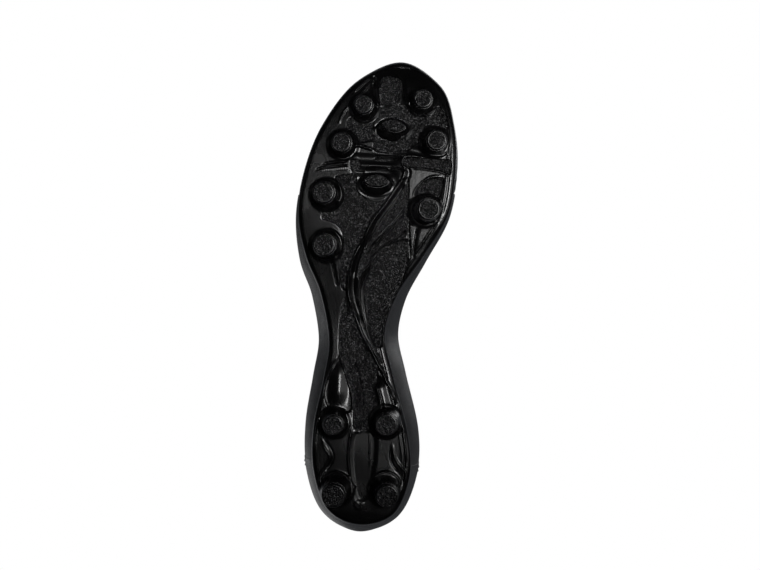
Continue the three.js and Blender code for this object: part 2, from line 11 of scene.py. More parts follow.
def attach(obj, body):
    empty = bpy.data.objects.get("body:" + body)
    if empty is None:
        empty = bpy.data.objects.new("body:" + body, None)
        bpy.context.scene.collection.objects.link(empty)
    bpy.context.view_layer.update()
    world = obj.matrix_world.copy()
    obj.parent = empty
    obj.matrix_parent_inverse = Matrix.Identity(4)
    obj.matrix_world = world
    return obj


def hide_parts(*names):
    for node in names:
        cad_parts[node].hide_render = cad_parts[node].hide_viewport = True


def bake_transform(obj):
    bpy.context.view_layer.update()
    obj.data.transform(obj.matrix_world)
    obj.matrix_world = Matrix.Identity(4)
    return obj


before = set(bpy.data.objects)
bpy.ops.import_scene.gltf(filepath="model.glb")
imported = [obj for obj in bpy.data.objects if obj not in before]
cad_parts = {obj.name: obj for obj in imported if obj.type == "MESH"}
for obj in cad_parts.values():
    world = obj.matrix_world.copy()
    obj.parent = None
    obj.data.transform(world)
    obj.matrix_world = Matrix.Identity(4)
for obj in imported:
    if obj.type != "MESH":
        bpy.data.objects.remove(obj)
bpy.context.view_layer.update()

MM = 0.001

# ---------------------------------------------------------------- dimensions, in millimetres
GAP = 0.3              # clearance between neighbouring pieces
RIM_H = 5.0            # outsole's edge wall above its underside
PLATE_T = 2.6          # outsole's plate
BOARD_T = 1.4          # lasting board
EDGE_ROLL = 3.2        # radius between the outsole's underside and its edge wall
LEDGE = 0.8            # outsole's edge outside the upper's feather line
FLEX_Y = -79.5         # flex line across the ball of the foot
TIP_H = 2.6            # a stud's wear tip
COLLAR_W = 2.2         # flare round a stud, wider than its tip
COLLAR_H = 0.9         # that flare above the plate
LEAN_LEFT = 0.2        # share of a stud's lean left at the top of its shank
LACE_R = 1.0
TONGUE_DEPTH = 6.4     # tongue's face below the upper's surface
TONGUE_OVERLAP = 13.0  # how far the tongue runs under each eyestay
TONGUE_TOP_LENGTH = 27.0
TONGUE_TOP_U = 5.12    # station of the tongue's hinge line
TONGUE_FOOT_U = 9.2
TONGUE_REACH = 1.85    # the tongue's half width, where the throat's is 1
BRIDGE_RISE = 0.6      # how far the throat's surface carries on along the upper's sides
EYELET_ROWS = 6
EYELET_U = (8.15, 5.3) # stations of the lowest and the highest row
EYELET_INSET = 7.5     # eyelet centre to the throat's edge
EYELET_R = 2.3
STAY_PROUD = 1.0       # eyestay above the upper's surface
QUARTER_PROUD = 0.2
HEEL_PROUD = 0.5
FOOT_V = -0.015        # the panels' lower edge, tucked below the feather line
FINE = 0.42            # spacing of the outsole's mesh
COLUMNS = 212          # points across the outsole
RIM_STEP = 0.4         # spacing of the rim that distances are measured to

# Upper at 24 stations, heel 0, lateral 1-11, toe 12, medial 13-23:
# feather x, y; opening x, y, z; out, up from the feather edge; lean, drop from the opening edge.
STATIONS = np.array([
    (6.1, 136, 6.1, 135.5, 84, 14, 22, 4, 22),
    (-12.9, 128.5, -9.4, 126.5, 79, 12, 20, 5, 20),
    (-23.3, 106, -21.4, 103, 68, 10, 18, 6, 17),
    (-25.4, 80, -25.7, 79, 61, 10, 16, 6, 14),
    (-22, 52, -24.9, 54, 68, 12, 17, 6, 17),
    (-20.7, 28, -17.9, 30, 97, 13, 26, 9, 22),
    (-28.2, 0, -15.4, 4, 86.5, 14, 26, 9, 16),
    (-38.4, -20.5, -11.4, -18, 77.5, 15, 24, 6, 12),
    (-45, -45, -8.4, -34, 72.3, 10, 24, 3, 8),
    (-43.2, -72, -4.9, -42.5, 70, 7, 24, 2, 6),
    (-34.6, -100, -1.4, -45.6, 69.2, 8, 23, 2, 6),
    (-17, -127.2, 1.1, -46.8, 69, 9, 22, 3, 7),
    (8.8, -140.9, 2.6, -47, 69, 14, 21, 4, 8),
    (32.6, -128.4, 4.1, -46.8, 69, 10, 22, 3, 7),
    (42, -106, 6.6, -45.6, 69.2, 8, 23, 2, 6),
    (45.1, -82, 9.6, -42.5, 70, 9.5, 24, 2, 6),
    (43, -52, 11.6, -34, 72.3, 8, 26, 3, 8),
    (30.2, -26, 12.1, -18, 77.5, 9, 28, 6, 13),
    (16.8, -2, 11.6, 4, 86.5, 11.5, 28, 8, 18),
    (11.4, 22, 12.1, 30, 97, 14, 28, 9, 24),
    (18.2, 46, 21.6, 54, 69, 13, 18, 8, 18),
    (29.9, 80, 31.1, 79, 62.5, 12, 16, 6, 15),
    (33.2, 105, 32.1, 103, 69, 9, 18, 5, 18),
    (25.4, 128, 21.4, 126.5, 79.5, 11, 20, 4, 20),
], dtype=float)
COUNT = len(STATIONS)

# Underside of the outsole along the foot: y and height.
UNDERSIDE = np.array([
    (150, 17.5), (142, 14.6), (128, 12.2), (100, 12), (75, 12.6), (50, 14.8), (24, 16.8), (-2, 15.4),
    (-28, 12.4), (-52, 11.3), (-75, 11.8), (-95, 13), (-112, 15.6), (-126, 19.2), (-138, 24), (-150, 30),
], dtype=float)

# Studs: tip centre x, y, tip height, radius, lens half width or 0, turn in degrees, base shift x, y.
STUDS = {
    "toe_lateral": (-12, -112.3, 4.6, 5.4, 0, 0, 0.5, 0.9),
    "toe_medial": (22.8, -118.7, 5.6, 5.4, 0, 0, -0.5, 0.9),
    "second_lateral": (-23.2, -88.6, 1, 5.8, 0, 0, 1, 0.5),
    "second_medial": (32.7, -94.7, 1.6, 5.8, 0, 0, -1, 0.5),
    "front_centre": (6.6, -101.3, 3.2, 7, 3.3, 4, -0.2, 1.2),
    "mid_centre": (-0.8, -68, 0.8, 7.2, 3.5, -3, 0.3, 2.2),
    "third_lateral": (-31.1, -58.5, 0, 6.4, 0, 0, 1.6, 0.6),
    "fourth_lateral": (-28.2, -28, 0, 6.6, 0, 0, 1.4, 0.2),
    "third_medial": (31.4, -54, 0, 6.5, 0, 0, -1.6, 0.8),
    "heel_front_lateral": (-14, 77.4, 0, 6, 0, 0, 0.4, -0.9),
    "heel_front_medial": (16.9, 74.3, 0, 6.6, 0, 0, 0, -0.9),
    "heel_rear_lateral": (-10.5, 118.5, 0, 6.9, 0, 0, 1.5, -2.6),
    "heel_rear_medial": (20.8, 115.9, 0, 6.7, 0, 0, -1, -2.4),
}
STUD_STEPS = 14        # rings up a stud's shank
TOE_STUDS = ("toe_lateral", "toe_medial", "second_lateral", "second_medial", "front_centre")


# ---------------------------------------------------------------- small maths
def lerp(a, b, t):
    return a + (b - a) * t


def smooth(low, high, value):
    t = np.clip((value - low) / (high - low), 0, 1)
    return t * t * (3 - 2 * t)


def bell(q):
    return np.clip(1 - q * q, 0, None) ** 2


def catmull(a, b, c, d, t):
    slope_in, slope_out = (c - a) / 2, (d - b) / 2
    cubic = 2 * b - 2 * c + slope_in + slope_out
    square = -3 * b + 3 * c - 2 * slope_in - slope_out
    return ((cubic * t + square) * t + slope_in) * t + b


def unit(v):
    return v / np.maximum(np.linalg.norm(v, axis=-1, keepdims=True), 1e-9)


def curve(points, steps=7, closed=False):
    """Smooth line through the points."""
    p = np.array(points, float)
    if closed:
        p = np.vstack([p[-1:], p, p[:2]])
    else:
        p = np.vstack([2 * p[0] - p[1], p, 2 * p[-1] - p[-2]])
    t = (np.arange(steps) / steps)[:, None]
    spans = [catmull(p[i], p[i + 1], p[i + 2], p[i + 3], t) for i in range(len(p) - 3)]
    return np.vstack(spans + [p[-2:-1]])


def run_along(points):
    """Distance along a line, at each of its points."""
    return np.concatenate([[0], np.cumsum(np.linalg.norm(np.diff(points, axis=0), axis=1))])


def turns(count):
    """Angles evenly round a circle."""
    return np.linspace(0, 2 * math.pi, count, endpoint=False)


def with_z(plan, z):
    return np.concatenate([plan, z[..., None]], -1)


def evenly(points, step):
    """The same line as points at an even spacing."""
    p = np.asarray(points, float)
    run = run_along(p)
    at = np.linspace(0, run[-1], max(2, int(round(run[-1] / step)) + 1))
    return np.stack([np.interp(at, run, p[:, k]) for k in range(p.shape[1])], -1)


# ---------------------------------------------------------------- the shoe's surfaces
def around(u):
    u = np.asarray(u, float)
    i = np.floor(u).astype(int)
    a, b, c, d = (STATIONS[(i + k) % COUNT] for k in (-1, 0, 1, 2))
    return catmull(a, b, c, d, (u - i)[..., None])


def underside(y):
    y = np.asarray(y, float)
    i = np.clip(np.searchsorted(-UNDERSIDE[:, 0], -y) - 1, 1, len(UNDERSIDE) - 3)
    t = np.clip((UNDERSIDE[i, 0] - y) / (UNDERSIDE[i, 0] - UNDERSIDE[i + 1, 0]), 0, 1)
    z = UNDERSIDE[:, 1]
    return catmull(z[i - 1], z[i], z[i + 1], z[i + 2], t)


def away_from_foot(u):
    along = unit(around(u + 0.02)[..., :2] - around(u - 0.02)[..., :2])
    return np.stack([along[..., 1], -along[..., 0], np.zeros_like(along[..., 0])], -1)


def from_heel(u):
    """Stations from the heel, the shorter way round."""
    return np.minimum(u, COUNT - u)


def from_toe(u):
    return np.abs(u - COUNT / 2)


def section(u):
    """Four control points of the upper's section, from feather edge to opening edge."""
    u = np.asarray(u, float)
    row = around(u)
    away = away_from_foot(u)
    up = np.array([0, 0, 1.0])
    low = with_z(row[..., :2], underside(row[..., 1]) + RIM_H + GAP)
    top = row[..., 2:5]
    low_handle = low + away * row[..., 5:6] + up * row[..., 6:7]
    reach = (low - top) * np.array([0.55, 0.55, 0])
    top_handle = top + reach + away * row[..., 7:8] - up * row[..., 8:9]
    return low, low_handle, top_handle, top


def bezier(points, v):
    v = np.asarray(v, float)[..., None]
    w = 1 - v
    return points[0] * w**3 + 3 * points[1] * w * w * v + 3 * points[2] * w * v * v + points[3] * v**3


def upper(u, v):
    return bezier(section(u), v)


def normal(surface, a, b, step=0.004):
    along_a = surface(a + step, b) - surface(a - step, b)
    along_b = surface(a, b + step) - surface(a, b - step)
    return unit(np.cross(along_a, along_b))


def raised(surface, a, b, height):
    """The surface moved out along its normal."""
    height = np.asarray(height, float)
    return surface(a, b) + normal(surface, a, b) * height[..., None]


def below_edge(u, width):
    """v of the line that runs a width below the opening edge."""
    _, _, handle, top = section(u)
    return 1 - width / (3 * np.linalg.norm(handle - top, axis=-1))


def level(v):
    """The line at one v, for any u."""
    return lambda u: np.full_like(u, v)


# ---------------------------------------------------------------- meshes
def add_object(name, data):
    made = bpy.data.objects.new(name, data)
    bpy.context.scene.collection.objects.link(made)
    return made


def make_mesh(name, points, faces, material, layers=None):
    """An object from points in millimetres, with smooth faces that point outwards."""
    mesh = bpy.data.meshes.new(name)
    mesh.from_pydata((np.asarray(points) * MM).tolist(), [], [list(map(int, f)) for f in faces])
    for key, values in (layers or {}).items():
        layer = mesh.attributes.new(key, "FLOAT", "POINT")
        layer.data.foreach_set("value", np.asarray(values, dtype=np.float32))
    work = bmesh.new()
    work.from_mesh(mesh)
    bmesh.ops.remove_doubles(work, verts=work.verts, dist=2e-6)
    bmesh.ops.recalc_face_normals(work, faces=work.faces)
    work.to_mesh(mesh)
    work.free()
    mesh.shade_smooth()
    mesh.materials.append(material)
    return add_object(name, mesh)


def grid_faces(rows, cols, start=0, close_rows=False, close_cols=False):
    r = np.arange(rows if close_rows else rows - 1)[:, None]
    c = np.arange(cols if close_cols else cols - 1)[None, :]
    r2, c2 = (r + 1) % rows, (c + 1) % cols
    corners = [r * cols + c, r2 * cols + c, r2 * cols + c2, r * cols + c2]
    return (np.stack(np.broadcast_arrays(*corners), -1).reshape(-1, 4) + start).tolist()


class Parts:
    """Gathers several shapes into one mesh."""

    def __init__(self):
        self.points, self.faces, self.layers, self.size = [], [], {}, 0

    def add(self, points, faces, **layers):
        points = np.asarray(points, float).reshape(-1, 3)
        self.faces += [[i + self.size for i in f] for f in faces]
        self.points.append(points)
        for key in set(self.layers) | set(layers):
            self.layers.setdefault(key, [np.zeros(self.size)])
            values = np.broadcast_to(np.asarray(layers.get(key, 0.0), float).ravel(), (len(points),))
            self.layers[key].append(values)
        self.size += len(points)

    def build(self, name, material):
        layers = {key: np.concatenate(parts) for key, parts in self.layers.items()}
        return make_mesh(name, np.vstack(self.points), self.faces, material, layers)


def ring_stack(rings, cap_start=True, cap_end=True):
    """Points and faces of a closed form through rings of equal count."""
    rings = np.asarray(rings, float)
    count = rings.shape[1]
    faces = grid_faces(len(rings), count, close_cols=True)
    if cap_start:
        faces.append(list(range(count)))
    if cap_end:
        faces.append(list(range((len(rings) - 1) * count, len(rings) * count)))
    return rings.reshape(-1, 3), faces


def leaf(outer, inner, round_edge=0.6):
    """Points and faces of a thin closed sheet between two grids, with a rounded edge."""
    rows, cols = outer.shape[:2]
    loop = [(i, 0) for i in range(rows)] + [(rows - 1, j) for j in range(1, cols)]
    loop += [(i, cols - 1) for i in range(rows - 2, -1, -1)] + [(0, j) for j in range(cols - 2, 0, -1)]
    i, j = np.array(loop).T
    back_i, back_j = np.clip(i, 1, rows - 2), np.clip(j, 1, cols - 2)
    middle = (outer + inner) / 2
    thick = np.linalg.norm(outer - inner, axis=-1)[i, j][:, None]
    edge = middle[i, j] + unit(middle[i, j] - middle[back_i, back_j]) * thick * round_edge * 0.5
    size = rows * cols
    faces = grid_faces(rows, cols) + [f[::-1] for f in grid_faces(rows, cols, size)]
    at = i * cols + j
    for k in range(len(at)):
        n = (k + 1) % len(at)
        m, m2 = 2 * size + k, 2 * size + n
        faces.append([at[k], m, m2, at[n]])
        faces.append([m, at[k] + size, at[n] + size, m2])
    return np.vstack([outer.reshape(-1, 3), inner.reshape(-1, 3), edge]), faces


def tube(path, radius_a, radius_b=None, sides=10, ups=None):
    """Rings along a path. radius_b is measured along ups, radius_a across them."""
    path = np.asarray(path, float)
    radius_b = radius_a if radius_b is None else radius_b
    tangent = unit(np.gradient(path, axis=0))
    if ups is None:
        ups = np.tile(np.array([0.0, 0, 1]), (len(path), 1))
    across = unit(np.cross(tangent, ups))
    lift = unit(np.cross(across, tangent))
    angle = turns(sides)
    radius_a = np.broadcast_to(radius_a, (len(path),))[:, None, None]
    radius_b = np.broadcast_to(radius_b, (len(path),))[:, None, None]
    return (path[:, None] + across[:, None] * np.cos(angle)[None, :, None] * radius_a
            + lift[:, None] * np.sin(angle)[None, :, None] * radius_b)


# ---------------------------------------------------------------- materials
def new_material(name, color, rough, specular=0.5, sheen=0.0):
    material = bpy.data.materials.new(name)
    material.use_nodes = True
    shader = material.node_tree.nodes["Principled BSDF"]
    shader.inputs["Base Color"].default_value = (*color, 1)
    shader.inputs["Roughness"].default_value = rough
    shader.inputs["Specular IOR Level"].default_value = specular
    shader.inputs["Sheen Weight"].default_value = sheen
    return material, material.node_tree, shader


def node(tree, kind, **inputs):
    """A node. An input is a number, a colour or a socket, i0 is the first input, and set_ marks a setting."""
    made = tree.nodes.new("ShaderNode" + kind)
    for key, value in inputs.items():
        if key.startswith("set_"):
            setattr(made, key[4:], value)
            continue
        numbered = key[0] == "i" and key[1:].isdigit()
        socket = made.inputs[int(key[1:]) if numbered else key.replace("_", " ")]
        if isinstance(value, bpy.types.NodeSocket):
            tree.links.new(value, socket)
        else:
            socket.default_value = value
    return made


def place(tree):
    return node(tree, "TexCoord").outputs["Object"]


def noise(tree, scale, detail=2.0):
    return node(tree, "TexNoise", Vector=place(tree), Scale=scale, Detail=detail).outputs["Fac"]


def attribute(tree, name):
    return node(tree, "Attribute", set_attribute_name=name).outputs["Fac"]


def maths(tree, operation, a, b=0.0):
    return node(tree, "Math", set_operation=operation, i0=a, i1=b).outputs[0]


def ramp(tree, value, low, high, to_low=0.0, to_high=1.0):
    return node(tree, "MapRange", Value=value, From_Min=low, From_Max=high, To_Min=to_low,
                To_Max=to_high).outputs[0]


def tint(tree, shader, factor, dark, light):
    mixed = node(tree, "Mix", set_data_type="RGBA", i0=factor, i6=(*dark, 1), i7=(*light, 1))
    tree.links.new(mixed.outputs[2], shader.inputs["Base Color"])


def bump(tree, shader, height, strength, distance):
    made = node(tree, "Bump", Height=height, Strength=strength, Distance=distance)
    tree.links.new(made.outputs[0], shader.inputs["Normal"])


def pebbled_plastic_painted_glints(name, dark, light, gloss_rough, grain_rough):
    """Moulded plastic: glossy where the grain layer is 0, spark-eroded pebble grain where it is 1, with light
    specks painted into the grain's colour as glints.
    """
    material, tree, shader = new_material(name, dark, gloss_rough)
    grain = attribute(tree, "grain")
    cells = node(tree, "TexVoronoi", Vector=place(tree), Scale=850.0, Randomness=1.0).outputs["Distance"]
    fine = noise(tree, 1100.0, 1.0)
    broad = noise(tree, 55.0, 3.0)
    pebble = maths(tree, "ADD", maths(tree, "MULTIPLY", cells, -1.0), maths(tree, "MULTIPLY", fine, 0.5))
    orange_peel = maths(tree, "MULTIPLY", noise(tree, 420.0), 0.05)
    height = maths(tree, "ADD", maths(tree, "MULTIPLY", pebble, grain), orange_peel)
    bump(tree, shader, height, 1.0, 0.0009)
    worn = ramp(tree, broad, 0.35, 0.75, -0.04, 0.06)
    rough = maths(tree, "ADD", ramp(tree, grain, 0, 1, gloss_rough, grain_rough), worn)
    tree.links.new(rough, shader.inputs["Roughness"])
    # Painted glints: the lighter colour, in specks over the grain, stands in for highlights off the pebbles.
    tint(tree, shader, maths(tree, "MULTIPLY", grain, ramp(tree, fine, 0.59, 0.7)), dark, light)
    return material


def leather(name, dark, light, rough, scale=950.0, depth=0.00022):
    material, tree, shader = new_material(name, dark, rough, specular=0.45)
    cells = node(tree, "TexVoronoi", Vector=place(tree), Scale=scale, set_feature="DISTANCE_TO_EDGE")
    pores = noise(tree, scale * 2.2, 3.0)
    broad = noise(tree, 70.0, 4.0)
    crease = ramp(tree, cells.outputs["Distance"], 0.0, 0.16, 0.0, 0.55)
    bump(tree, shader, maths(tree, "ADD", crease, maths(tree, "MULTIPLY", pores, 0.5)), 0.55, depth)
    tint(tree, shader, ramp(tree, broad, 0.35, 0.7), dark, light)
    tree.links.new(ramp(tree, broad, 0.3, 0.75, rough - 0.05, rough + 0.09), shader.inputs["Roughness"])
    return material


def woven(name, dark, light, pitch, rough=0.85, sheen=0.25, depth=0.0003):
    """Cloth with threads over and under at the given pitch in metres."""
    material, tree, shader = new_material(name, dark, rough, specular=0.25, sheen=sheen)
    shader.inputs["Sheen Roughness"].default_value = 0.4
    apart = node(tree, "SeparateXYZ", Vector=place(tree)).outputs
    turns = 2 * math.pi / pitch
    x = maths(tree, "SINE", maths(tree, "MULTIPLY", apart[0], turns))
    slope = maths(tree, "ADD", apart[1], apart[2])
    y = maths(tree, "SINE", maths(tree, "MULTIPLY", slope, turns))
    weave = maths(tree, "MULTIPLY", x, y)
    fuzz = noise(tree, 2.2 / pitch, 3.0)
    height = maths(tree, "ADD", maths(tree, "MULTIPLY", weave, 0.5), fuzz)
    bump(tree, shader, height, 0.8, depth)
    tint(tree, shader, ramp(tree, height, 0.1, 0.9), dark, light)
    return material


def braid(name, dark, light):
    """Braided cord: the layers turn and run carry the strands round and along it."""
    material, tree, shader = new_material(name, dark, 0.75, specular=0.3, sheen=0.3)
    turn = attribute(tree, "turn")
    run = attribute(tree, "run")
    one = maths(tree, "SINE", maths(tree, "ADD", run, turn))
    two = maths(tree, "SINE", maths(tree, "SUBTRACT", run, turn))
    strands = maths(tree, "MAXIMUM", one, two)
    bump(tree, shader, strands, 0.9, 0.00025)
    tint(tree, shader, ramp(tree, strands, -0.6, 1.0), dark, light)
    return material


def rough_sheet(name, dark, light, scale, rough):
    """Foam, fibre board or felt."""
    material, tree, shader = new_material(name, dark, rough, specular=0.2)
    pores = noise(tree, scale, 4.0)
    bump(tree, shader, pores, 0.7, 0.0003)
    tint(tree, shader, ramp(tree, pores, 0.35, 0.65), dark, light)
    return material


# The second colour of the plate and the stud tips is the painted glint colour of their grained areas.
PLATE = pebbled_plastic_painted_glints("moulded_plate", (0.0018, 0.0017, 0.0019), (0.11, 0.11, 0.112), 0.26, 0.42)
TIP = pebbled_plastic_painted_glints("stud_tip_rubber", (0.003, 0.003, 0.0032), (0.11, 0.11, 0.112), 0.28, 0.42)
SHELL = leather("upper_leather", (0.0105, 0.0105, 0.0115), (0.0165, 0.0165, 0.0175), 0.42)
OVERLAY = leather("overlay_leather", (0.008, 0.008, 0.009), (0.012, 0.012, 0.013), 0.33, 1300.0, 0.00014)
LINING = woven("lining_cloth", (0.016, 0.016, 0.018), (0.034, 0.034, 0.037), 0.0011)
SOCK_CLOTH = woven("sockliner_cloth", (0.022, 0.022, 0.025), (0.05, 0.05, 0.055), 0.0014)
KNIT = woven("tongue_knit", (0.012, 0.012, 0.0135), (0.03, 0.03, 0.033), 0.0016, sheen=0.3)
WEBBING = woven("webbing", (0.009, 0.009, 0.01), (0.024, 0.024, 0.026), 0.0012, rough=0.7)
LACE = braid("lace_braid", (0.008, 0.008, 0.009), (0.03, 0.03, 0.032))
THREAD = braid("sewing_thread", (0.01, 0.01, 0.011), (0.03, 0.03, 0.032))
FOAM = rough_sheet("foam", (0.03, 0.03, 0.033), (0.07, 0.07, 0.075), 1800.0, 0.95)
BOARD = rough_sheet("fibre_board", (0.2, 0.18, 0.15), (0.34, 0.31, 0.27), 900.0, 0.9)
STIFFENER = rough_sheet("stiffener", (0.3, 0.28, 0.24), (0.42, 0.4, 0.35), 500.0, 0.75)


# ---------------------------------------------------------------- the outsole's relief
class Relief:
    """Heights proud of the outsole's underside, and where it is grained, at points in plan."""

    def __init__(self, points):
        self.points = points
        self.height = np.zeros(len(points))
        self.grain = np.zeros(len(points))

    def near(self, path, reach):
        low, high = path.min(0) - reach, path.max(0) + reach
        return np.nonzero(((self.points >= low) & (self.points <= high)).all(1))[0]

    def measure(self, path, reach):
        """For points near a line: index, distance, side (left or right) and place along it."""
        index = self.near(path, reach)
        p = self.points[index]
        best = np.full(len(index), 1e9)
        side, place_along = np.ones(len(index)), np.zeros(len(index))
        for k in range(len(path) - 1):
            d = path[k + 1] - path[k]
            t = np.clip(((p - path[k]) @ d) / max(d @ d, 1e-9), 0, 1)
            off = p - path[k] - t[:, None] * d
            distance = np.hypot(off[:, 0], off[:, 1])
            closer = distance < best
            best = np.where(closer, distance, best)
            side = np.where(closer, np.sign(d[0] * off[:, 1] - d[1] * off[:, 0] + 1e-12), side)
            place_along = np.where(closer, (k + t) / (len(path) - 1), place_along)
        return index, best, side, place_along

    def ridge(self, points, half, height, taper=0.2, shift=0.0, grain=None):
        """A rounded ridge, or a groove where height is negative. shift moves it to the line's left."""
        index, distance, side, along = self.measure(curve(points), half + abs(shift))
        ends = smooth(0, max(taper, 1e-3), along) * smooth(0, max(taper, 1e-3), 1 - along)
        shape = bell((distance * side - shift) / half) * ends
        self.height[index] += height * shape
        if grain is not None:
            self.grain[index] = lerp(self.grain[index], grain, np.clip(2 * shape, 0, 1))

    def area(self, points, height, edge=0.9, grain=1.0):
        """A raised or sunken area inside a smooth closed outline."""
        outline = curve(points, closed=True)
        index, distance, _, _ = self.measure(outline, edge)
        p = self.points[index]
        inside = np.zeros(len(index), bool)
        for a, b in zip(outline[:-1], outline[1:]):
            spans = (a[1] > p[:, 1]) != (b[1] > p[:, 1])
            cross = a[0] + (p[:, 1] - a[1]) * (b[0] - a[0]) / (b[1] - a[1] + 1e-12)
            inside ^= spans & (p[:, 0] < cross)
        share = smooth(-edge / 2, edge / 2, np.where(inside, distance, -distance))
        self.height[index] += height * share
        self.grain[index] = lerp(self.grain[index], grain, share)

    def dome(self, centre, radius, height, lens=None, fade=3.0, grain=None):
        """A flare round a stud: level inside the radius, and fading outside it."""
        off = self.points - np.array(centre)
        stretch = 1.0 if lens is None else radius / lens
        distance = np.hypot(off[:, 0], off[:, 1] * stretch)
        share = 1 - smooth(radius, radius + fade, distance)
        self.height += height * share**1.6
        if grain is not None:
            self.grain = lerp(self.grain, grain, smooth(0.02, 0.2, share))


def toe_relief(r):
    """Ahead of the bend: a grained field, a toe pad, and grooves and ribs round them."""
    r.area([(-20, -104), (-8, -108), (-3.5, -112), (6, -114), (16, -114), (24, -111.5), (33, -115.5),
           (38, -108), (38, -103), (27, -104), (24, -96), (18, -90), (14, -86.3), (2, -85.6), (-3.5, -87.2),
           (-4.5, -92), (-12, -91), (-19, -93)], -0.8, edge=1.6)
    r.area([(-2, -131), (8.1, -130.7), (9.9, -123.7), (8.6, -116), (4, -114.8), (-1.5, -115.4),
           (-3.1, -122.6)], 0.7, edge=1.6)
    r.ridge([(-6, -131), (-5.3, -126.6), (-5, -119.5), (-3.6, -113.6)], 0.9, 0.9, taper=0.15)
    r.ridge([(-3.6, -115.4), (-3.2, -113)], 1.5, 0.8, taper=0.3)
    r.ridge([(-2.8, -129), (-3.4, -120), (-1.5, -115.2), (4.1, -114.9)], 0.7, 0.4)
    r.ridge([(8.9, -128), (9.4, -122), (8, -116.5)], 0.8, 0.5)
    r.ridge([(4.8, -136), (8.4, -130), (10.6, -124), (11.4, -117)], 1.0, -0.9)
    r.ridge([(-7.2, -133), (-8, -126), (-8.6, -119)], 1.3, -0.9)
    r.area([(11.4, -134), (15, -131), (16.4, -122), (16, -117), (12.6, -116.5), (12.2, -125)], 0.5,
           edge=2.0, grain=0)
    r.ridge([(-5.5, -131.5), (-9.4, -126.6), (-13.4, -120.8), (-18, -115.6)], 1.3, 1.3, taper=0.1)
    r.ridge([(-9.2, -130.6), (-14, -125.6), (-18.6, -120.4)], 0.8, 0.7)
    r.ridge([(-3.4, -111.8), (-8.8, -104.2)], 1.1, 0.9)
    r.ridge([(15.9, -101.5), (13.4, -97), (9, -93), (4, -91.4)], 1.2, 1.1)
    r.ridge([(-4.2, -101), (-5, -96), (-2.4, -92.4)], 1.2, 0.6)
    r.area([(-4.3, -101), (1, -106.2), (8, -106.8), (14.9, -104.4), (16.2, -100.6), (12, -94.6), (5, -92.6),
           (-2.4, -95)], -0.7, edge=1.4, grain=0)
    r.ridge([(-16.2, -86.8), (-13.2, -88.6), (-8, -87.6), (-3.7, -86.6)], 1.2, 1.1)
    r.ridge([(-26, -100), (-23.5, -108), (-19, -113.5)], 1.0, 0.5)
    r.ridge([(20, -114.5), (25, -110), (31, -109.5), (36, -113)], 1.1, 0.8)
    r.ridge([(26.4, -88.2), (31, -86.6), (37, -86.8), (40.4, -90)], 1.1, 0.8)
    r.dome((35.1, -107.3), 0.8, -0.8, fade=1.6)


def flex_relief(r):
    """The bend zone: a centre groove, a long slot on the medial side, a ribbed slot on the lateral."""
    r.ridge([(-17, -80.4), (-4, -81.2), (14, -82)], 4.4, -1.2, taper=0.2)
    r.ridge([(-17, -73.2), (-4, -74), (14, -74.8)], 4, -1.1, taper=0.2)
    r.ridge([(14, -89), (22, -88), (30, -87.4)], 4, -1.1, taper=0.25)
    r.ridge([(-3, -82.7), (5, -83.5), (13.6, -84)], 0.7, -1.2, taper=0.06)
    r.ridge([(-3, -81.2), (5, -82), (13.6, -82.6)], 0.6, 0.5, taper=0.06)
    r.area([(14.4, -81.2), (15.4, -83.2), (22, -83.9), (36.5, -84.2), (42.2, -83.9), (42.6, -76.5),
           (39.4, -77.6), (33.3, -78.7), (24.3, -78.8), (16.4, -78.7)], -0.7, edge=0.7)
    r.ridge([(15, -83.3), (25, -83.9), (40, -84)], 0.6, -0.9, taper=0.05)
    r.ridge([(15.2, -78.9), (24.3, -78.9), (33.3, -78.8), (40, -77.4), (42, -76)], 0.7, -1.3, taper=0.05)
    r.ridge([(26, -85), (17, -84.8), (14.2, -83.4), (13.4, -81), (14.4, -78.6), (17, -77.6)], 0.8, 1.1,
             taper=0.1)
    r.ridge([(17, -81.6), (24, -82), (34, -82), (41, -81)], 0.9, 0.8, taper=0.12)
    r.ridge([(20, -77.7), (30, -77.6), (38, -76.6), (42.6, -74.6)], 0.7, 0.5, taper=0.1)
    r.ridge([(-33.6, -75.9), (-26, -77.8), (-18.5, -78.9)], 0.9, -1.4, taper=0.1)
    r.ridge([(-37, -72.2), (-31.8, -73.9), (-18.4, -76.6)], 0.9, -1.4, taper=0.1)
    r.ridge([(-33, -74.3), (-26, -76), (-18, -77.6)], 0.5, 0.5)
    for step in range(13):
        x, y = -33.6 + 1.25 * step, -72.4 - 0.2 * step
        r.ridge([(x - 0.3, y - 1.6), (x + 0.3, y + 1.6)], 0.45, 0.6, taper=0.3)
    r.area([(-16.8, -79.4), (-12, -80), (-11.4, -74.6), (-15.6, -73.6)], -0.5)
    r.ridge([(-15.6, -72.4), (-7.9, -73)], 0.6, -0.8)
    r.ridge([(4.9, -76.7), (10, -77.3), (14, -76.4)], 0.6, -0.8)


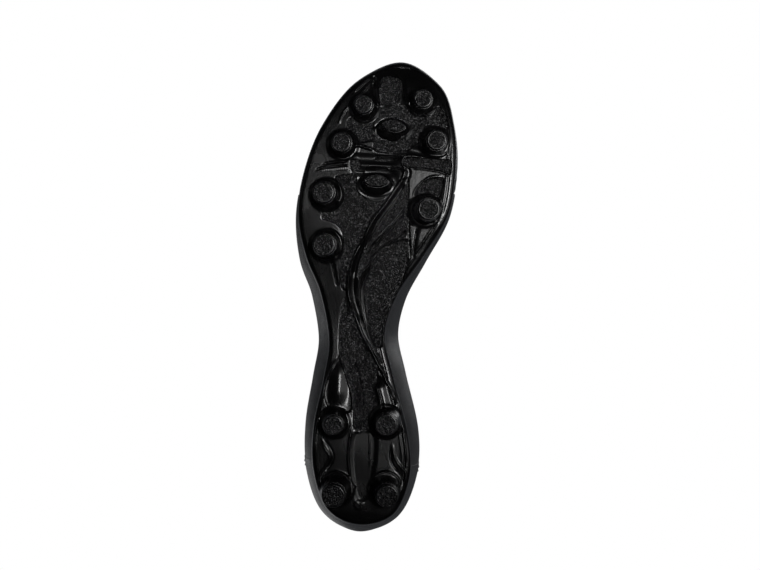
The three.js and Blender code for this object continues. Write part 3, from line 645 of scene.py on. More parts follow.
def ball_relief(r):
    """Behind the bend: the grained field, the patch by the medial stud, and the edges of both."""
    r.area([(-25, -68.5), (-18, -70.6), (-13.4, -71), (-12, -62), (-6, -57.6), (0, -56), (6, -58.6),
           (12, -68), (13.6, -71.6), (13.9, -70), (10, -64.6), (5, -55.6), (-1.8, -45), (-5.6, -34.6),
           (-9.2, -26.6), (-12.2, -17.4), (-13.6, -9), (-14.2, -3), (-16, -4), (-17.2, -12), (-18, -21),
           (-17, -30), (-18, -36), (-23, -41.5), (-31, -44), (-28, -50.5), (-22.4, -50), (-19.6, -56),
           (-20.4, -62)], -0.8, edge=1.3)
    r.area([(-12.4, -69), (-8, -74), (0, -76), (8, -74.4), (12.4, -69), (10, -63), (4, -58.4), (-2, -57),
           (-9, -60.6)], -0.8, edge=4.5, grain=0)
    r.ridge([(-24.6, -66.6), (-21.4, -62), (-20.8, -56.6), (-23.4, -50.6)], 1.3, 1.5)
    r.ridge([(-26.4, -38.6), (-20.6, -34.4), (-18.4, -29), (-20, -21.4)], 1.2, 1.4)
    r.area([(-22.4, -22), (-20.2, -21.6), (-18.6, -14), (-17.6, -7), (-18.6, -5.6), (-20.6, -13)], 0.9,
           edge=1.4, grain=0)
    r.ridge([(-23.6, -21), (-21.6, -13), (-18.8, -4)], 0.9, -1.3)
    r.area([(22.6, -63.4), (25.4, -68.6), (30, -71.8), (37.2, -73.4), (38.8, -71), (38, -64), (37.4, -60.4),
           (32, -61.6), (25.6, -60)], -1.1, edge=1.2)
    r.ridge([(38, -74.6), (30.6, -73.2), (24, -67), (21.6, -61)], 0.8, 0.7)
    r.ridge([(20.4, -60), (18.6, -53), (20.4, -47), (24, -44)], 1.6, -1.2)
    r.ridge([(19.9, -50), (20.8, -40), (22, -32), (23.6, -23)], 0.8, -1.3)
    r.ridge([(25.6, -43.4), (25, -36), (24.8, -30), (24.6, -23)], 0.7, -1.1)
    r.area([(27, -42), (36.6, -48.6), (38.6, -44), (32.6, -36), (28, -29.6), (26, -26)], 0.6, edge=3.0,
           grain=0)


def rib_relief(r):
    """Ribs that sweep from the medial ball down the waist, and the grained lanes between them."""
    main = [(14.2, -77), (15.4, -73.4), (10.7, -64.1), (5.5, -54.7), (-1.3, -44), (-4.9, -34.2),
           (-8.4, -26.8), (-11.2, -17.6), (-12.4, -9.7), (-12.3, -2.6), (-10.7, 3.2), (-8.2, 9.4),
           (-4.9, 15.9), (-1.3, 23.3), (3.5, 30.5), (12.4, 44.6), (17.5, 53.4), (23.4, 63.2)]
    r.area([(17.6, -72), (18.8, -64), (18.8, -56), (19.4, -46), (20, -38.6), (12, -33), (4.4, -26.6),
           (-0.4, -21), (-3.4, -15.6), (-6.4, -10), (-7.4, -16), (-4.6, -26), (-0.8, -35), (4, -44),
           (11.4, -57), (15.8, -66)], -0.5, edge=1.0)
    r.ridge([(16.9, -69), (9.9, -57), (2.6, -45), (-1.4, -35), (-4.4, -26)], 1.0, -1.6, taper=0.08, grain=0)
    r.ridge([(18.2, -56), (12.4, -47.4), (6.2, -39.3), (-0.6, -29.6), (-3.4, -24)], 0.9, -1.5, taper=0.08,
             grain=0)
    r.ridge([(17.9, -52.6), (11.4, -44.4), (4.6, -36.2), (0.4, -30)], 1.1, 1.2, taper=0.12, grain=0)
    r.ridge([(18.6, -50.4), (12.4, -42.4), (5.2, -34), (-0.6, -26)], 0.8, -1.4, taper=0.08, grain=0)
    r.ridge([(19.9, -41), (12, -34.6), (4.2, -27.8), (-1, -21.6)], 1.0, -1.6, taper=0.06, grain=0)
    r.ridge([(-3, -38), (-6.4, -28), (-8.6, -18.6), (-9.3, -9.6), (-8.9, -2.6), (-7.3, 4), (-4.6, 10.6),
             (-1.6, 17)], 2.6, -1.7, taper=0.16, grain=0)
    r.ridge(main, 1.3, 1.7, taper=0.03, grain=0)
    r.ridge(main[:9], 1.6, -0.7, taper=0.08, shift=-2.6, grain=0)
    r.ridge([(1.6, -19.6), (-2.2, -14.1), (-4.8, -6.2), (-5, 0), (-3.9, 7), (-1, 15), (1.4, 21), (4.6, 28),
             (13, 41)], 0.8, 1.1, taper=0.05, grain=0)
    r.area([(4.6, -27), (12.8, -32.4), (18.6, -35), (21.4, -32.6), (21.6, -18), (18, -6), (13, 6.6),
           (10.2, 18), (11.6, 28), (6.6, 28.6), (1.6, 17.2), (-1.2, 6), (-2.6, -4.6), (0.4, -16)], -1.1,
           edge=1.6)
    r.area([(-9.3, 5), (-6, 14.8), (0.2, 29), (8, 44.6), (11.6, 51.6), (6.7, 50), (-1.6, 37.6), (-8.4, 20)],
           -0.6)
    r.area([(-13.4, 3.1), (-10.4, 11.3), (-5.9, 21.2), (1.6, 31.7), (8.4, 40.5), (9.4, 50), (11.4, 59.8),
           (13, 65), (8.4, 70), (6.4, 79), (3, 80.5), (-1, 79), (-2.4, 74), (-3.5, 65.8), (-5.7, 56.6),
           (-9.3, 47.6), (-12.7, 39.5), (-14.5, 34.9), (-15.3, 25.7), (-15.6, 14.5), (-15.1, 5.1)], -0.25,
           edge=1.6)
    r.ridge([(-3.8, 50), (-2.6, 60), (-1.4, 72), (-1, 82)], 1.6, -0.8, taper=0.2)


def heel_relief(r):
    """Wedges ahead of the front heel studs, the smooth pan between the studs, and its ribs."""
    r.area([(-14.1, 37), (-10.6, 43.6), (-6.6, 53), (-4, 61), (-4.2, 68), (-9, 70.6), (-16, 69.6),
           (-20.4, 63), (-20.6, 54), (-17, 43)], -1.0, edge=1.2, grain=0)
    r.ridge([(-13.6, 38), (-13.4, 48), (-13, 58), (-12.4, 70)], 6.4, 2.3, taper=0.35, grain=0)
    r.ridge([(-14.1, 37), (-9.4, 47.4), (-4.9, 59), (-3.6, 67)], 0.9, 1.1, taper=0.06)
    r.ridge([(-14.4, 37.4), (-17.6, 44), (-21, 54.8), (-21.4, 63)], 0.8, 0.9, taper=0.06)
    r.area([(8.6, 46.6), (14, 50.4), (19.6, 56), (23.6, 62), (24.4, 68), (20, 70), (14.6, 68), (12.4, 59)],
           -0.9, edge=1.2, grain=0)
    r.ridge([(10, 47.4), (12.4, 55), (14.4, 62), (15.4, 71)], 6.2, 2.2, taper=0.3, grain=0)
    r.ridge([(8.3, 48), (11, 55), (14.1, 63), (14.8, 68)], 0.9, -1.2, taper=0.08)
    r.ridge([(-4.5, 39.7), (-1.6, 48), (1, 56), (2.8, 66)], 1.0, -1.4, taper=0.08)
    r.area([(-1.4, 83), (-2, 95), (0, 108), (4, 121), (10, 118), (12, 104), (12.6, 92), (11, 82), (4, 80)],
           -0.9, edge=3.4, grain=0)
    r.ridge([(-3, 78), (-3.9, 88), (-3.7, 97), (-0.8, 112)], 1.0, 1.2)
    r.ridge([(7.6, 80.4), (8.6, 91), (9.4, 102)], 0.6, 0.7)
    r.ridge([(-20.6, 86), (-18, 92), (-14.6, 96.8), (-17, 103), (-19.6, 108.6), (-19.8, 116)], 1.0, 1.0)
    r.ridge([(-18.4, 87), (-12.6, 96.8), (-16.6, 106)], 1.0, -0.9)
    r.ridge([(21.6, 86), (23.8, 94), (28, 99.6), (31, 103), (30, 112)], 1.0, 1.0)
    r.ridge([(20.6, 88), (22, 97), (27, 103)], 1.1, -0.9)
    r.ridge([(-19, 112), (-14, 107), (-9.1, 105.6), (-4.4, 107.2), (-1.2, 111.4)], 1.0, 1.2)
    r.ridge([(11, 110), (14.4, 105), (19.9, 102.9), (25.6, 104.8), (29.6, 110)], 1.0, 1.2)
    r.ridge([(26.5, 72), (28.6, 83.5), (31, 97)], 0.9, 0.7)
    r.ridge([(-22.6, 71), (-24.2, 83), (-23.6, 96)], 0.9, 0.6)
    r.ridge([(-6, 136.4), (3, 138.4), (12.6, 136)], 0.8, 0.6)
    r.dome((5, 124), 2.2, 0.25, fade=2.0, grain=0)
    r.dome((1.6, 113.4), 0.5, 0.5, fade=0.7, grain=0)
    r.dome((-0.6, 117), 0.5, 0.5, fade=0.7, grain=0)


def edge_relief(r):
    """A step just inside the plate's edge on the medial side."""
    ring = np.linspace(0, COUNT, 240)
    for inset, height in ((3.4, -0.45), (4.6, 0.35)):
        line = around(ring)[:, :2] - away_from_foot(ring)[:, :2] * inset
        index, distance, _, along = r.measure(line, 1.0)
        u = along * COUNT
        strength = 0.7 * smooth(12.6, 13.8, u) * (1 - smooth(21.5, 23, u))
        r.height[index] += height * strength * bell(distance / 0.9)


def stud_relief(r):
    """The smooth flare that each stud stands on."""
    for x, y, _, radius, lens, _, shift_x, shift_y in STUDS.values():
        half = lens + COLLAR_W if lens else None
        fade = 3.4 if lens else 2.6
        r.dome((x + shift_x, y + shift_y), radius + COLLAR_W, COLLAR_H, lens=half, fade=fade, grain=0)


def distance_to_line(points, line):
    """Distance in plan from points to a closed line."""
    tree = KDTree(len(line))
    for i, (x, y) in enumerate(line):
        tree.insert((x, y, 0), i)
    tree.balance()
    nearest = np.array([tree.find((x, y, 0))[1] for x, y in points.tolist()])
    best = np.full(len(points), 1e9)
    for step in (-1, 0):
        start, end = line[(nearest + step) % len(line)], line[(nearest + step + 1) % len(line)]
        span = end - start
        share = ((points - start) * span).sum(1) / np.maximum((span * span).sum(1), 1e-9)
        off = points - start - np.clip(share, 0, 1)[:, None] * span
        best = np.minimum(best, np.hypot(off[:, 0], off[:, 1]))
    return best


RELIEFS = (toe_relief, flex_relief, ball_relief, rib_relief, heel_relief, edge_relief, stud_relief)
# Inset and height of the edge wall, from the end of the roll, over the rim, to the plate's top.
WALL = ((0.0, 3.2), (0.12, 3.6), (0.3, 3.8), (0.12, 4.0), (0.1, 4.6), (0.35, 5.0), (2.3, 5.0), (2.6, PLATE_T))


def outsole_sides():
    """Matching points on the outsole's lateral and medial edges, from heel to toe."""
    fine = np.linspace(0.02, COUNT / 2 - 0.02, 3000)
    edge = around(fine)[:, :2]
    run = np.concatenate([[0], np.cumsum(np.hypot(*np.diff(edge, axis=0).T))])
    u = np.interp(np.arange(0, run[-1], FINE), run, fine)
    return [around(s)[:, :2] + away_from_foot(s)[:, :2] * LEDGE for s in (u, COUNT - u)]


def outsole_bottom(sides):
    """Points of the underside with its relief, and how grained each one is."""
    share = np.linspace(0, 1, COLUMNS)[None, :, None]
    flat = lerp(sides[0][:, None], sides[1][:, None], share).reshape(-1, 2)
    rim = np.vstack([sides[0], sides[1][::-1]])
    rim = evenly(np.vstack([rim, rim[:1]]), RIM_STEP)[:-1]
    inset = distance_to_line(flat, rim).reshape(-1, COLUMNS)
    inset[:, [0, -1]] = 0
    inset = inset.ravel()

    relief = Relief(flat)
    for shape in RELIEFS:
        shape(relief)
    fade = smooth(0.4, 2.2, inset)
    rolled = np.clip(EDGE_ROLL - inset, 0, None)
    roll = EDGE_ROLL - np.sqrt(np.clip(EDGE_ROLL**2 - rolled**2, 0, None))
    z = underside(flat[:, 1]) + roll - relief.height * fade
    return with_z(flat, z).reshape(-1, COLUMNS, 3), (relief.grain * fade).reshape(-1, COLUMNS)


def outsole_walls(sides):
    """Columns of points that close the outsole, up the medial wall and down the lateral one."""
    across = unit(sides[1] - sides[0])
    most = np.linalg.norm(sides[1] - sides[0], axis=1) * 0.45

    def wall(side, inward, rise):
        spot = sides[side] + np.minimum(inward, most)[:, None] * across * (1 if side == 0 else -1)
        return with_z(spot, underside(sides[side][:, 1]) + rise)[:, None]

    return [wall(1, *step) for step in WALL] + [wall(0, *step) for step in reversed(WALL)]


def add_outsole():
    sides = outsole_sides()
    bottom, grain = outsole_bottom(sides)
    loop = np.concatenate([bottom, *outsole_walls(sides)], axis=1)
    layer = np.zeros(loop.shape[:2])
    layer[:, :COLUMNS] = grain
    points, faces = ring_stack(loop)
    piece = make_mesh("outsole", points, faces, PLATE, {"grain": layer.ravel()})
    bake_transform(piece)
    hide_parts("outsole_toe", "outsole_rear")


# ---------------------------------------------------------------- studs
def stud_ring(stud, centre, z, grow, count=56):
    """A ring of the stud's outline, grown by a margin. z is a height, or gives it from y."""
    _, _, _, radius, lens, turn, _, _ = stud
    angle = turns(count)
    x = (radius + grow) * np.cos(angle)
    if lens:
        y = (lens + grow) * np.sin(angle) * np.abs(np.sin(angle)) ** 0.3
    else:
        y = (radius + grow) * np.sin(angle)
    spin = math.radians(turn)
    ring = np.stack([x * math.cos(spin) - y * math.sin(spin) + centre[0],
                     x * math.sin(spin) + y * math.cos(spin) + centre[1], np.zeros(count)], -1)
    ring[:, 2] = z(ring[:, 1]) if callable(z) else z
    return ring


def stud_shank(name, stud):
    """Tapered shank, flared where it follows the plate's underside, and level from half way."""
    x, y, tip_z, _, _, _, shift_x, shift_y = stud
    top = tip_z + TIP_H
    base_z = float(underside(y + shift_y))
    rings = []
    for f in np.arange(STUD_STEPS + 1) / STUD_STEPS:
        lean = lerp(1, LEAN_LEFT, f)
        centre = (x + shift_x * lean, y + shift_y * lean)
        grow = 0.45 + 1.2 * (1 - f) + 2.2 * (1 - f) ** 5
        sunk = lerp(1.2, 0, min(1, f * 2))

        def height(at_y, f=f, sunk=sunk):
            return lerp(underside(at_y) if f < 0.5 else base_z, top, f) + sunk

        rings.append(stud_ring(stud, centre, height, grow))
    rings.append(stud_ring(stud, centre, top - 0.12, 0.25))
    rings.append(stud_ring(stud, centre, top + 0.15, -0.3))
    points, faces = ring_stack(rings)
    piece = make_mesh("stud_" + name, points, faces, PLATE, {"grain": np.zeros(len(points))})
    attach(piece, "toe" if name in TOE_STUDS else "shoe")


# Height above the stud's end, and growth beyond its outline, from the shank over the rim to the end's middle.
TIP_PROFILE = (
    (2.45, -0.45), (2.3, 0.02), (2.1, 0.14), (1.2, 0.05), (0.7, 0.0), (0.38, -0.1), (0.14, -0.34),
    (0.02, -0.66), (0.0, -0.95), (0.05, -1.12), (0.16, -1.25), (0.18, -1.6), (0.18, -2.6),
)
GRAINED_INSET = -1.12  # the end is grained inside this growth


def stud_tip(name, stud):
    """Wear tip: a small step from the shank, a polished rim, and a grained flat end."""
    x, y, tip_z, _, lens, _, shift_x, shift_y = stud
    slim = 0.62 if lens else 1.0
    rings, grain = [], []
    for rise, grow in TIP_PROFILE:
        lean = LEAN_LEFT * rise / TIP_H
        centre = (x + shift_x * lean, y + shift_y * lean)
        rings.append(stud_ring(stud, centre, tip_z + rise, grow * slim))
        grain.append(np.full(len(rings[-1]), float(grow <= GRAINED_INSET and rise < 1)))
    points, faces = ring_stack(rings)
    piece = make_mesh("tip_" + name, points, faces, TIP, {"grain": np.concatenate(grain)})
    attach(piece, "toe" if name in TOE_STUDS else "shoe")
    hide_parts("stud_tip_" + name)


# ---------------------------------------------------------------- upper
VAMP_END = (8.45, 15.55)        # stations where the vamp meets the quarters
HEEL_END = (2.2, 21.8)          # stations where the quarters meet the heel panel
EYESTAY_END = (4.86, 19.14)


def bend(piece):
    """Bakes the placement of a piece of the upper into its mesh."""
    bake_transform(piece)


def stay_width(u):
    """Width of the eyestay, least at the throat's foot."""
    return lerp(5.4, 15, smooth(1, 5, from_toe(u)))


def panel(u_range, low, high, proud, thick, rows, cols, detail):
    """Points and faces of a panel of the upper. low and high give v along u; detail adds height."""
    u = np.linspace(*u_range, rows)[:, None]
    share = np.linspace(0, 1, cols)[None, :]
    v = lerp(low(u), high(u), share)
    u = np.broadcast_to(u, v.shape)
    outer = raised(upper, u, v, proud + detail(u, v, share))
    inner = raised(upper, u, v, proud - thick)
    return leaf(outer, inner)


class Stitches:
    """Rows of sewn thread, gathered into one piece."""

    SPANS = 6    # mesh spans to a stitch's pitch
    SIDES = 6
    LIFT = 0.08  # thread above the surface it is sewn to

    def __init__(self):
        self.parts = Parts()

    def row(self, path, ups, pitch=2.7, length=1.9, radius=0.27):
        """Stitches along a path, arched a little towards ups."""
        both = evenly(np.hstack([path, ups]), pitch / self.SPANS)
        spots, lifts = both[:, :3], unit(both[:, 3:])
        half = int(round(length / (pitch / self.SPANS)))
        for start in range(1, len(spots) - half - 1, self.SPANS):
            part = spots[start:start + half + 1]
            f = np.linspace(0, 1, len(part))
            round_off = np.sqrt(np.clip(1 - (2 * f - 1) ** 4, 0.04, 1))
            arched = part + lifts[start][None] * 0.12 * np.sin(math.pi * f)[:, None]
            rings = tube(arched, radius * round_off, sides=self.SIDES, ups=lifts[start:start + half + 1])
            angle = np.tile(turns(self.SIDES), len(part))
            self.parts.add(*ring_stack(rings), turn=angle, run=np.repeat(f * 9, self.SIDES))

    def seam(self, u, v, proud, **options):
        """A row along a line on the upper."""
        u, v = np.broadcast_arrays(np.asarray(u, float), np.asarray(v, float))
        self.row(raised(upper, u, v, proud + self.LIFT), normal(upper, u, v), **options)


QUILT_ROWS = 6
QUILT_FRONT = -122.0   # y of the first row
QUILT_PITCH = 10.5


def vamp_detail(u, v, share):
    """Rows of quilting across the forefoot, which fade towards the sole, and faint flex creases."""
    x, y, z = np.moveaxis(upper(u, v), -1, 0)
    rows = (y - QUILT_FRONT) / QUILT_PITCH
    inside = smooth(-0.1, 0.4, rows) * (1 - smooth(QUILT_ROWS - 0.4, QUILT_ROWS + 0.1, rows))
    off = np.abs(rows - np.round(rows))
    pillow = 0.75 * np.sqrt(np.clip(off * 2, 0, 1)) - 0.45 * bell(off / 0.09)
    crease = 0.28 * np.sin(y * 0.9 + 0.7 * np.sin(x * 0.12))
    crease *= bell((y - FLEX_Y - 6) / 15) * smooth(24, 34, z) * (1 - smooth(40, 52, z))
    tucked = -0.9 * smooth(3.38, 3.6, from_toe(u))
    return pillow * smooth(30, 44, z) * inside + crease + tucked


def quilt_line(row):
    """u, v points along one row of quilting, where it runs over the top of the foot."""
    line = []
    for u in np.linspace(8.7, 15.3, 90):
        v = np.linspace(0.1, float(below_edge(u, stay_width(u) + 1)), 140)
        spot = upper(np.full_like(v, u), v)
        off = np.abs(spot[:, 1] - QUILT_FRONT - QUILT_PITCH * row)
        hit = np.argmin(off)
        if off[hit] < 0.6 and spot[hit, 2] > 40:
            line.append((u, v[hit]))
    return line


def add_vamp(stitches):
    ends = (VAMP_END[0] - 0.28, VAMP_END[1] + 0.28)
    under_stay = lambda u: below_edge(u, stay_width(u) - 4)
    points, faces = panel(ends, level(FOOT_V), under_stay, 0, 1.3, 300, 170, vamp_detail)
    piece = make_mesh("vamp", points, faces, SHELL)
    bend(piece)
    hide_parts("vamp_toe", "vamp_rear", "vamp_crease")
    for row in range(QUILT_ROWS + 1):
        line = quilt_line(row)
        if len(line) > 8:
            stitches.seam(*np.array(line).T, -0.3)


def quarter_detail(u, v, share):
    """A padding swell and a soft channel below the collar, and the edge tucked under the heel panel."""
    near = from_heel(u)
    toward_heel = 1 - smooth(4.2, 5.2, near)
    swell = 0.9 * bell((v - 0.84) / 0.22) * toward_heel
    channel = -0.6 * bell((v - 0.66) / 0.03) * toward_heel
    tucked = -0.6 * (1 - smooth(2.12, 2.3, near))
    return swell + channel + tucked


def quarter_top(u):
    """The opening's edge: bound in by the collar at the back, and under the eyestay in front."""
    return lerp(0.985, below_edge(u, 1.0), smooth(4.6, 5.2, from_heel(u)))


def add_quarter(side, stitches):
    def mirror(u):
        return u if side == "lateral" else COUNT - u

    ends = (mirror(HEEL_END[0] - 0.25), mirror(VAMP_END[0]))
    points, faces = panel(ends, level(FOOT_V), quarter_top, QUARTER_PROUD, 1.4, 230, 120, quarter_detail)
    piece = make_mesh("quarter_" + side, points, faces, SHELL)
    bend(piece)
    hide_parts("quarter_" + side)
    for inset in (0.09, 0.17):
        stitches.seam(mirror(VAMP_END[0] - inset), np.linspace(0.28, 0.93, 50), QUARTER_PROUD)
    along = np.linspace(mirror(HEEL_END[0] + 0.2), mirror(4.5), 60)
    stitches.seam(along, 0.9, QUARTER_PROUD + 0.85)


HEEL_SAG = 0.05        # rise in v, a station away from the middle, of the lines across the heel


def heel_detail(u, v, share):
    """A groove across the panel between its seams, and a soft spine up the middle."""
    across = np.abs(u - COUNT)
    low = -0.3 * (1 - smooth(0.16, 0.36, v))
    groove = -0.5 * bell((v - 0.52 - HEEL_SAG * across) / 0.022)
    return low + groove + 0.5 * bell(across / 0.45) * smooth(0.1, 0.3, v)


def add_heel(stitches):
    ends = (HEEL_END[1] - 0.05, COUNT + HEEL_END[0] + 0.05)
    points, faces = panel(ends, level(FOOT_V), level(0.975), HEEL_PROUD, 1.6, 150, 110, heel_detail)
    piece = make_mesh("heel_panel_skin", points, faces, OVERLAY)
    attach(piece, "shoe")
    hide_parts("heel_panel")
    v = np.linspace(0.3, 0.94, 50)
    for end, sign in ((ends[0], 1), (ends[1], -1)):
        for inset in (0.1, 0.19):
            stitches.seam(end + sign * inset, v, HEEL_PROUD)
    u = np.linspace(ends[0] + 0.1, ends[1] - 0.1, 90)
    for middle in (0.46, 0.58):
        stitches.seam(u, middle + HEEL_SAG * np.abs(u - COUNT), HEEL_PROUD)


def eyelet_spots():
    """u and v of every eyelet, lateral row first, from the throat's foot to its top."""
    stations = lerp(*EYELET_U, np.arange(EYELET_ROWS) / (EYELET_ROWS - 1))
    both = np.concatenate([stations, COUNT - stations])
    return [(u, float(below_edge(u, EYELET_INSET))) for u in both]


def punch(piece, holes, facing):
    """Cuts a round hole through the piece at each point."""
    cutters = Parts()
    for hole, out in zip(holes, facing):
        line = np.array([hole - out * 5, hole, hole + out * 5])
        cutters.add(*ring_stack(tube(line, EYELET_R, sides=28, ups=np.tile([0.3, 1, 0.2], (3, 1)))))
    cutter = cutters.build("eyelet_cutter", OVERLAY)
    cut = piece.modifiers.new("punch", "BOOLEAN")
    cut.object = cutter
    cut.solver = "EXACT"
    apply_modifiers(piece)
    bpy.data.objects.remove(cutter)


def add_eyestay(stitches):
    """One U-shaped overlay round the throat, with punched and rimmed eyelets."""
    eyelets = np.array(eyelet_spots())
    holes = upper(eyelets[:, 0], eyelets[:, 1])

    def detail(u, v, share):
        spot = upper(u, v)
        rim = np.zeros(u.shape)
        for hole in holes:
            away = np.linalg.norm(spot - hole, axis=-1)
            rim = np.maximum(rim, 0.55 * bell((away - EYELET_R - 1) / 0.9))
        return rim - 0.35 * bell(share / 0.08)

    lower_edge = lambda u: below_edge(u, stay_width(u))
    points, faces = panel(EYESTAY_END, lower_edge, level(1.0), STAY_PROUD, 2.4, 420, 56, detail)
    piece = make_mesh("eyestay", points, faces, OVERLAY)
    punch(piece, holes, normal(upper, eyelets[:, 0], eyelets[:, 1]))
    bend(piece)
    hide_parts("eyestay_lateral", "eyestay_medial")
    u = np.linspace(EYESTAY_END[0] + 0.06, EYESTAY_END[1] - 0.06, 220)
    for width in (stay_width(u) - 1.7, stay_width(u) - 3.1, 1.9):
        stitches.seam(u, below_edge(u, width), STAY_PROUD, pitch=2.5)


def apply_modifiers(piece):
    graph = bpy.context.evaluated_depsgraph_get()
    mesh = bpy.data.meshes.new_from_object(piece.evaluated_get(graph))
    old = piece.data
    piece.modifiers.clear()
    piece.data = mesh
    bpy.data.meshes.remove(old)
    mesh.shade_smooth()


# ---------------------------------------------------------------- collar, lining and sockliner
def add_collar(stitches):
    """Padded collar: it rolls over the opening edge and runs down inside to a sewn edge."""
    u = np.linspace(19.22, 28.78, 210)
    share = (u - u[0]) / (u[-1] - u[0])
    ends = smooth(0, 0.1, share) * smooth(0, 0.1, 1 - share)
    thick = lerp(3.2, 6.4, ends)
    facing = normal(upper, u, 0.97)
    climb = unit(upper(u, 0.985) - upper(u, 0.955))
    top = upper(u, 0.975)
    rows = []
    for angle in np.linspace(-0.35, math.pi, 22):
        out = (math.cos(angle) - 1) * 0.5 * thick + 1.1 * (1 - angle / math.pi)
        lift = 2.5 * ends * math.sin(angle)
        rows.append(top + facing * out[:, None] + climb * (lift + 0.15)[:, None])
    for f in np.arange(1, 34) / 33:
        puff = 1.25 * ends * abs(math.sin(math.pi * 2.0 * f)) ** 0.6
        depth = lerp(thick, 4.6, f**3) + 0.25 + puff
        rows.append(raised(upper, u, 0.97 - 0.29 * f, -depth))
    for v, depth in ((0.68, 2.6), (0.75, 1.8), (0.85, 1.2), (0.93, 0.6)):
        rows.append(raised(upper, u, v, -depth))
    points, faces = ring_stack(np.stack(rows, 1))
    piece = make_mesh("collar", points, faces, LINING)
    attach(piece, "shoe")
    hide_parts("collar_foam", "collar_lining")
    line = raised(upper, u, 0.825, -(thick + 0.1))
    stitches.row(line[8:-8], -normal(upper, u, 0.825)[8:-8], pitch=3.0)


def add_lining():
    """Cloth inside of the upper, from the sockliner up to the collar and the throat."""
    u = np.linspace(0, COUNT, 193)[:-1, None]
    share = np.linspace(0, 1, 40)[None, :]
    near = from_heel(u)
    v = lerp(0.03, lerp(0.74, below_edge(u, 3.0), smooth(4.4, 5.4, near)), share)
    u = np.broadcast_to(u, v.shape)
    over_stiffeners = np.maximum(1 - smooth(2.6, 3.4, near), smooth(9.4, 10.2, near))
    depth = lerp(2.9, 3.3, share) + 1.5 * over_stiffeners
    outer, inner = raised(upper, u, v, -depth), raised(upper, u, v, -depth - 0.7)
    rings = np.concatenate([outer, inner[:, ::-1]], axis=1)
    faces = grid_faces(rings.shape[0], rings.shape[1], close_rows=True, close_cols=True)
    piece = make_mesh("lining", rings.reshape(-1, 3), faces, LINING)
    bend(piece)
    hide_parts("vamp_lining_toe", "vamp_lining_rear",
                "quarter_lining_lateral", "quarter_lining_medial")


def add_sockliner():
    """Cushioned insole with a cupped edge and a slightly dished heel."""
    ring = np.linspace(0, COUNT, 289)[:-1]
    edge, away = around(ring)[:, :2], away_from_foot(ring)[:, :2]
    mirrored = around(COUNT - ring)[:, :2]
    spine = np.stack([(edge[:, 0] + mirrored[:, 0]) / 2, np.clip(edge[:, 1], -122, 118)], -1)
    outer = edge - away * 5.6
    low = PLATE_T + GAP + BOARD_T + 2 * GAP
    rings = []

    def add_ring(plan, rise):
        rings.append(with_z(plan, underside(plan[:, 1]) + low + rise))

    for f in np.linspace(0.02, 1, 26):
        add_ring(lerp(spine, outer, f), 3.6 + 1.9 * f**6 - 0.35 * (1 - f))
    for inset, rise in ((5.2, 5.2), (5.1, 4.0), (5.1, 1.2), (5.6, 0.1)):
        add_ring(edge - away * inset, rise)
    for f in np.linspace(0.9, 0.02, 12):
        add_ring(lerp(spine, outer, f), 0.1)
    points, faces = ring_stack(rings)
    piece = make_mesh("sockliner", points, faces, SOCK_CLOTH)
    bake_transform(piece)
    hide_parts("sockliner_toe", "sockliner_rear")


# ---------------------------------------------------------------- tongue
def throat(u, w):
    """Surface that closes the throat: w is -1 at its lateral edge, 1 at its medial, and on under them."""
    u, w = np.broadcast_arrays(np.asarray(u, float), np.asarray(w, float))
    side = np.where(w < 0, u, COUNT - u)
    beyond = np.clip(np.abs(w) - 1, 0, None)
    under = upper(side, below_edge(side, beyond * TONGUE_OVERLAP))
    lateral, medial = section(u), section(COUNT - u)
    width = np.linalg.norm(lateral[3] - medial[3], axis=-1, keepdims=True)

    def lift(edge, handle):
        away = (edge - handle) * np.array([1, 0, 1.0])
        length = np.linalg.norm(away, axis=-1, keepdims=True)
        return edge + away * np.minimum(BRIDGE_RISE, 0.35 * width / length)

    bridge = (lateral[3], lift(lateral[3], lateral[2]), lift(medial[3], medial[2]), medial[3])
    bridge = bezier(bridge, (w + 1) / 2)
    return np.where((np.abs(w) > 1)[..., None], under, bridge)


def tongue_face(w, s):
    """The tongue's surface: s from its foot (0) to the hinge line (1) and its free end (2)."""
    w, s = np.broadcast_arrays(np.asarray(w, float), np.asarray(s, float))
    low = throat(lerp(TONGUE_FOOT_U, TONGUE_TOP_U, np.minimum(s, 1)), w)
    beyond = np.clip(s - 1, 0, None)[..., None]
    fan = smooth(0.1, 1.05, beyond)
    crown = throat(TONGUE_TOP_U, 0)
    flat = np.stack([crown[0] + w * 14, crown[1] + 0 * w, crown[2] - 2.1 * w * w], -1)
    rise = np.array([0, 0.93, 0.39]) * beyond + np.array([0, -0.4, 0.42]) * beyond**2
    return lerp(low, flat, fan) + rise * TONGUE_TOP_LENGTH


def tongue_proud(w, run):
    """The tongue's quilting below the hinge line, and the bound, padded free end above it."""
    off = np.abs(run / 12.5 - np.round(run / 12.5))
    pillow = np.sqrt(np.clip(2 * off, 0, 1)) - 0.6 * bell(off / 0.07)
    middle = bell(w / 1.7)
    free = smooth(run[-1] - 30, run[-1] - 22, run)
    border = np.minimum(np.abs(np.abs(w) - TONGUE_REACH) * 12, run[-1] - run)
    binding = 0.5 * free * bell(np.clip(border - 1.2, -9, 9) / 1.9)
    proud = pillow * middle * (1 - free) + binding + 0.9 * free * smooth(2.2, 8, border)
    return proud, 0.8 * middle * smooth(0, 4, border)


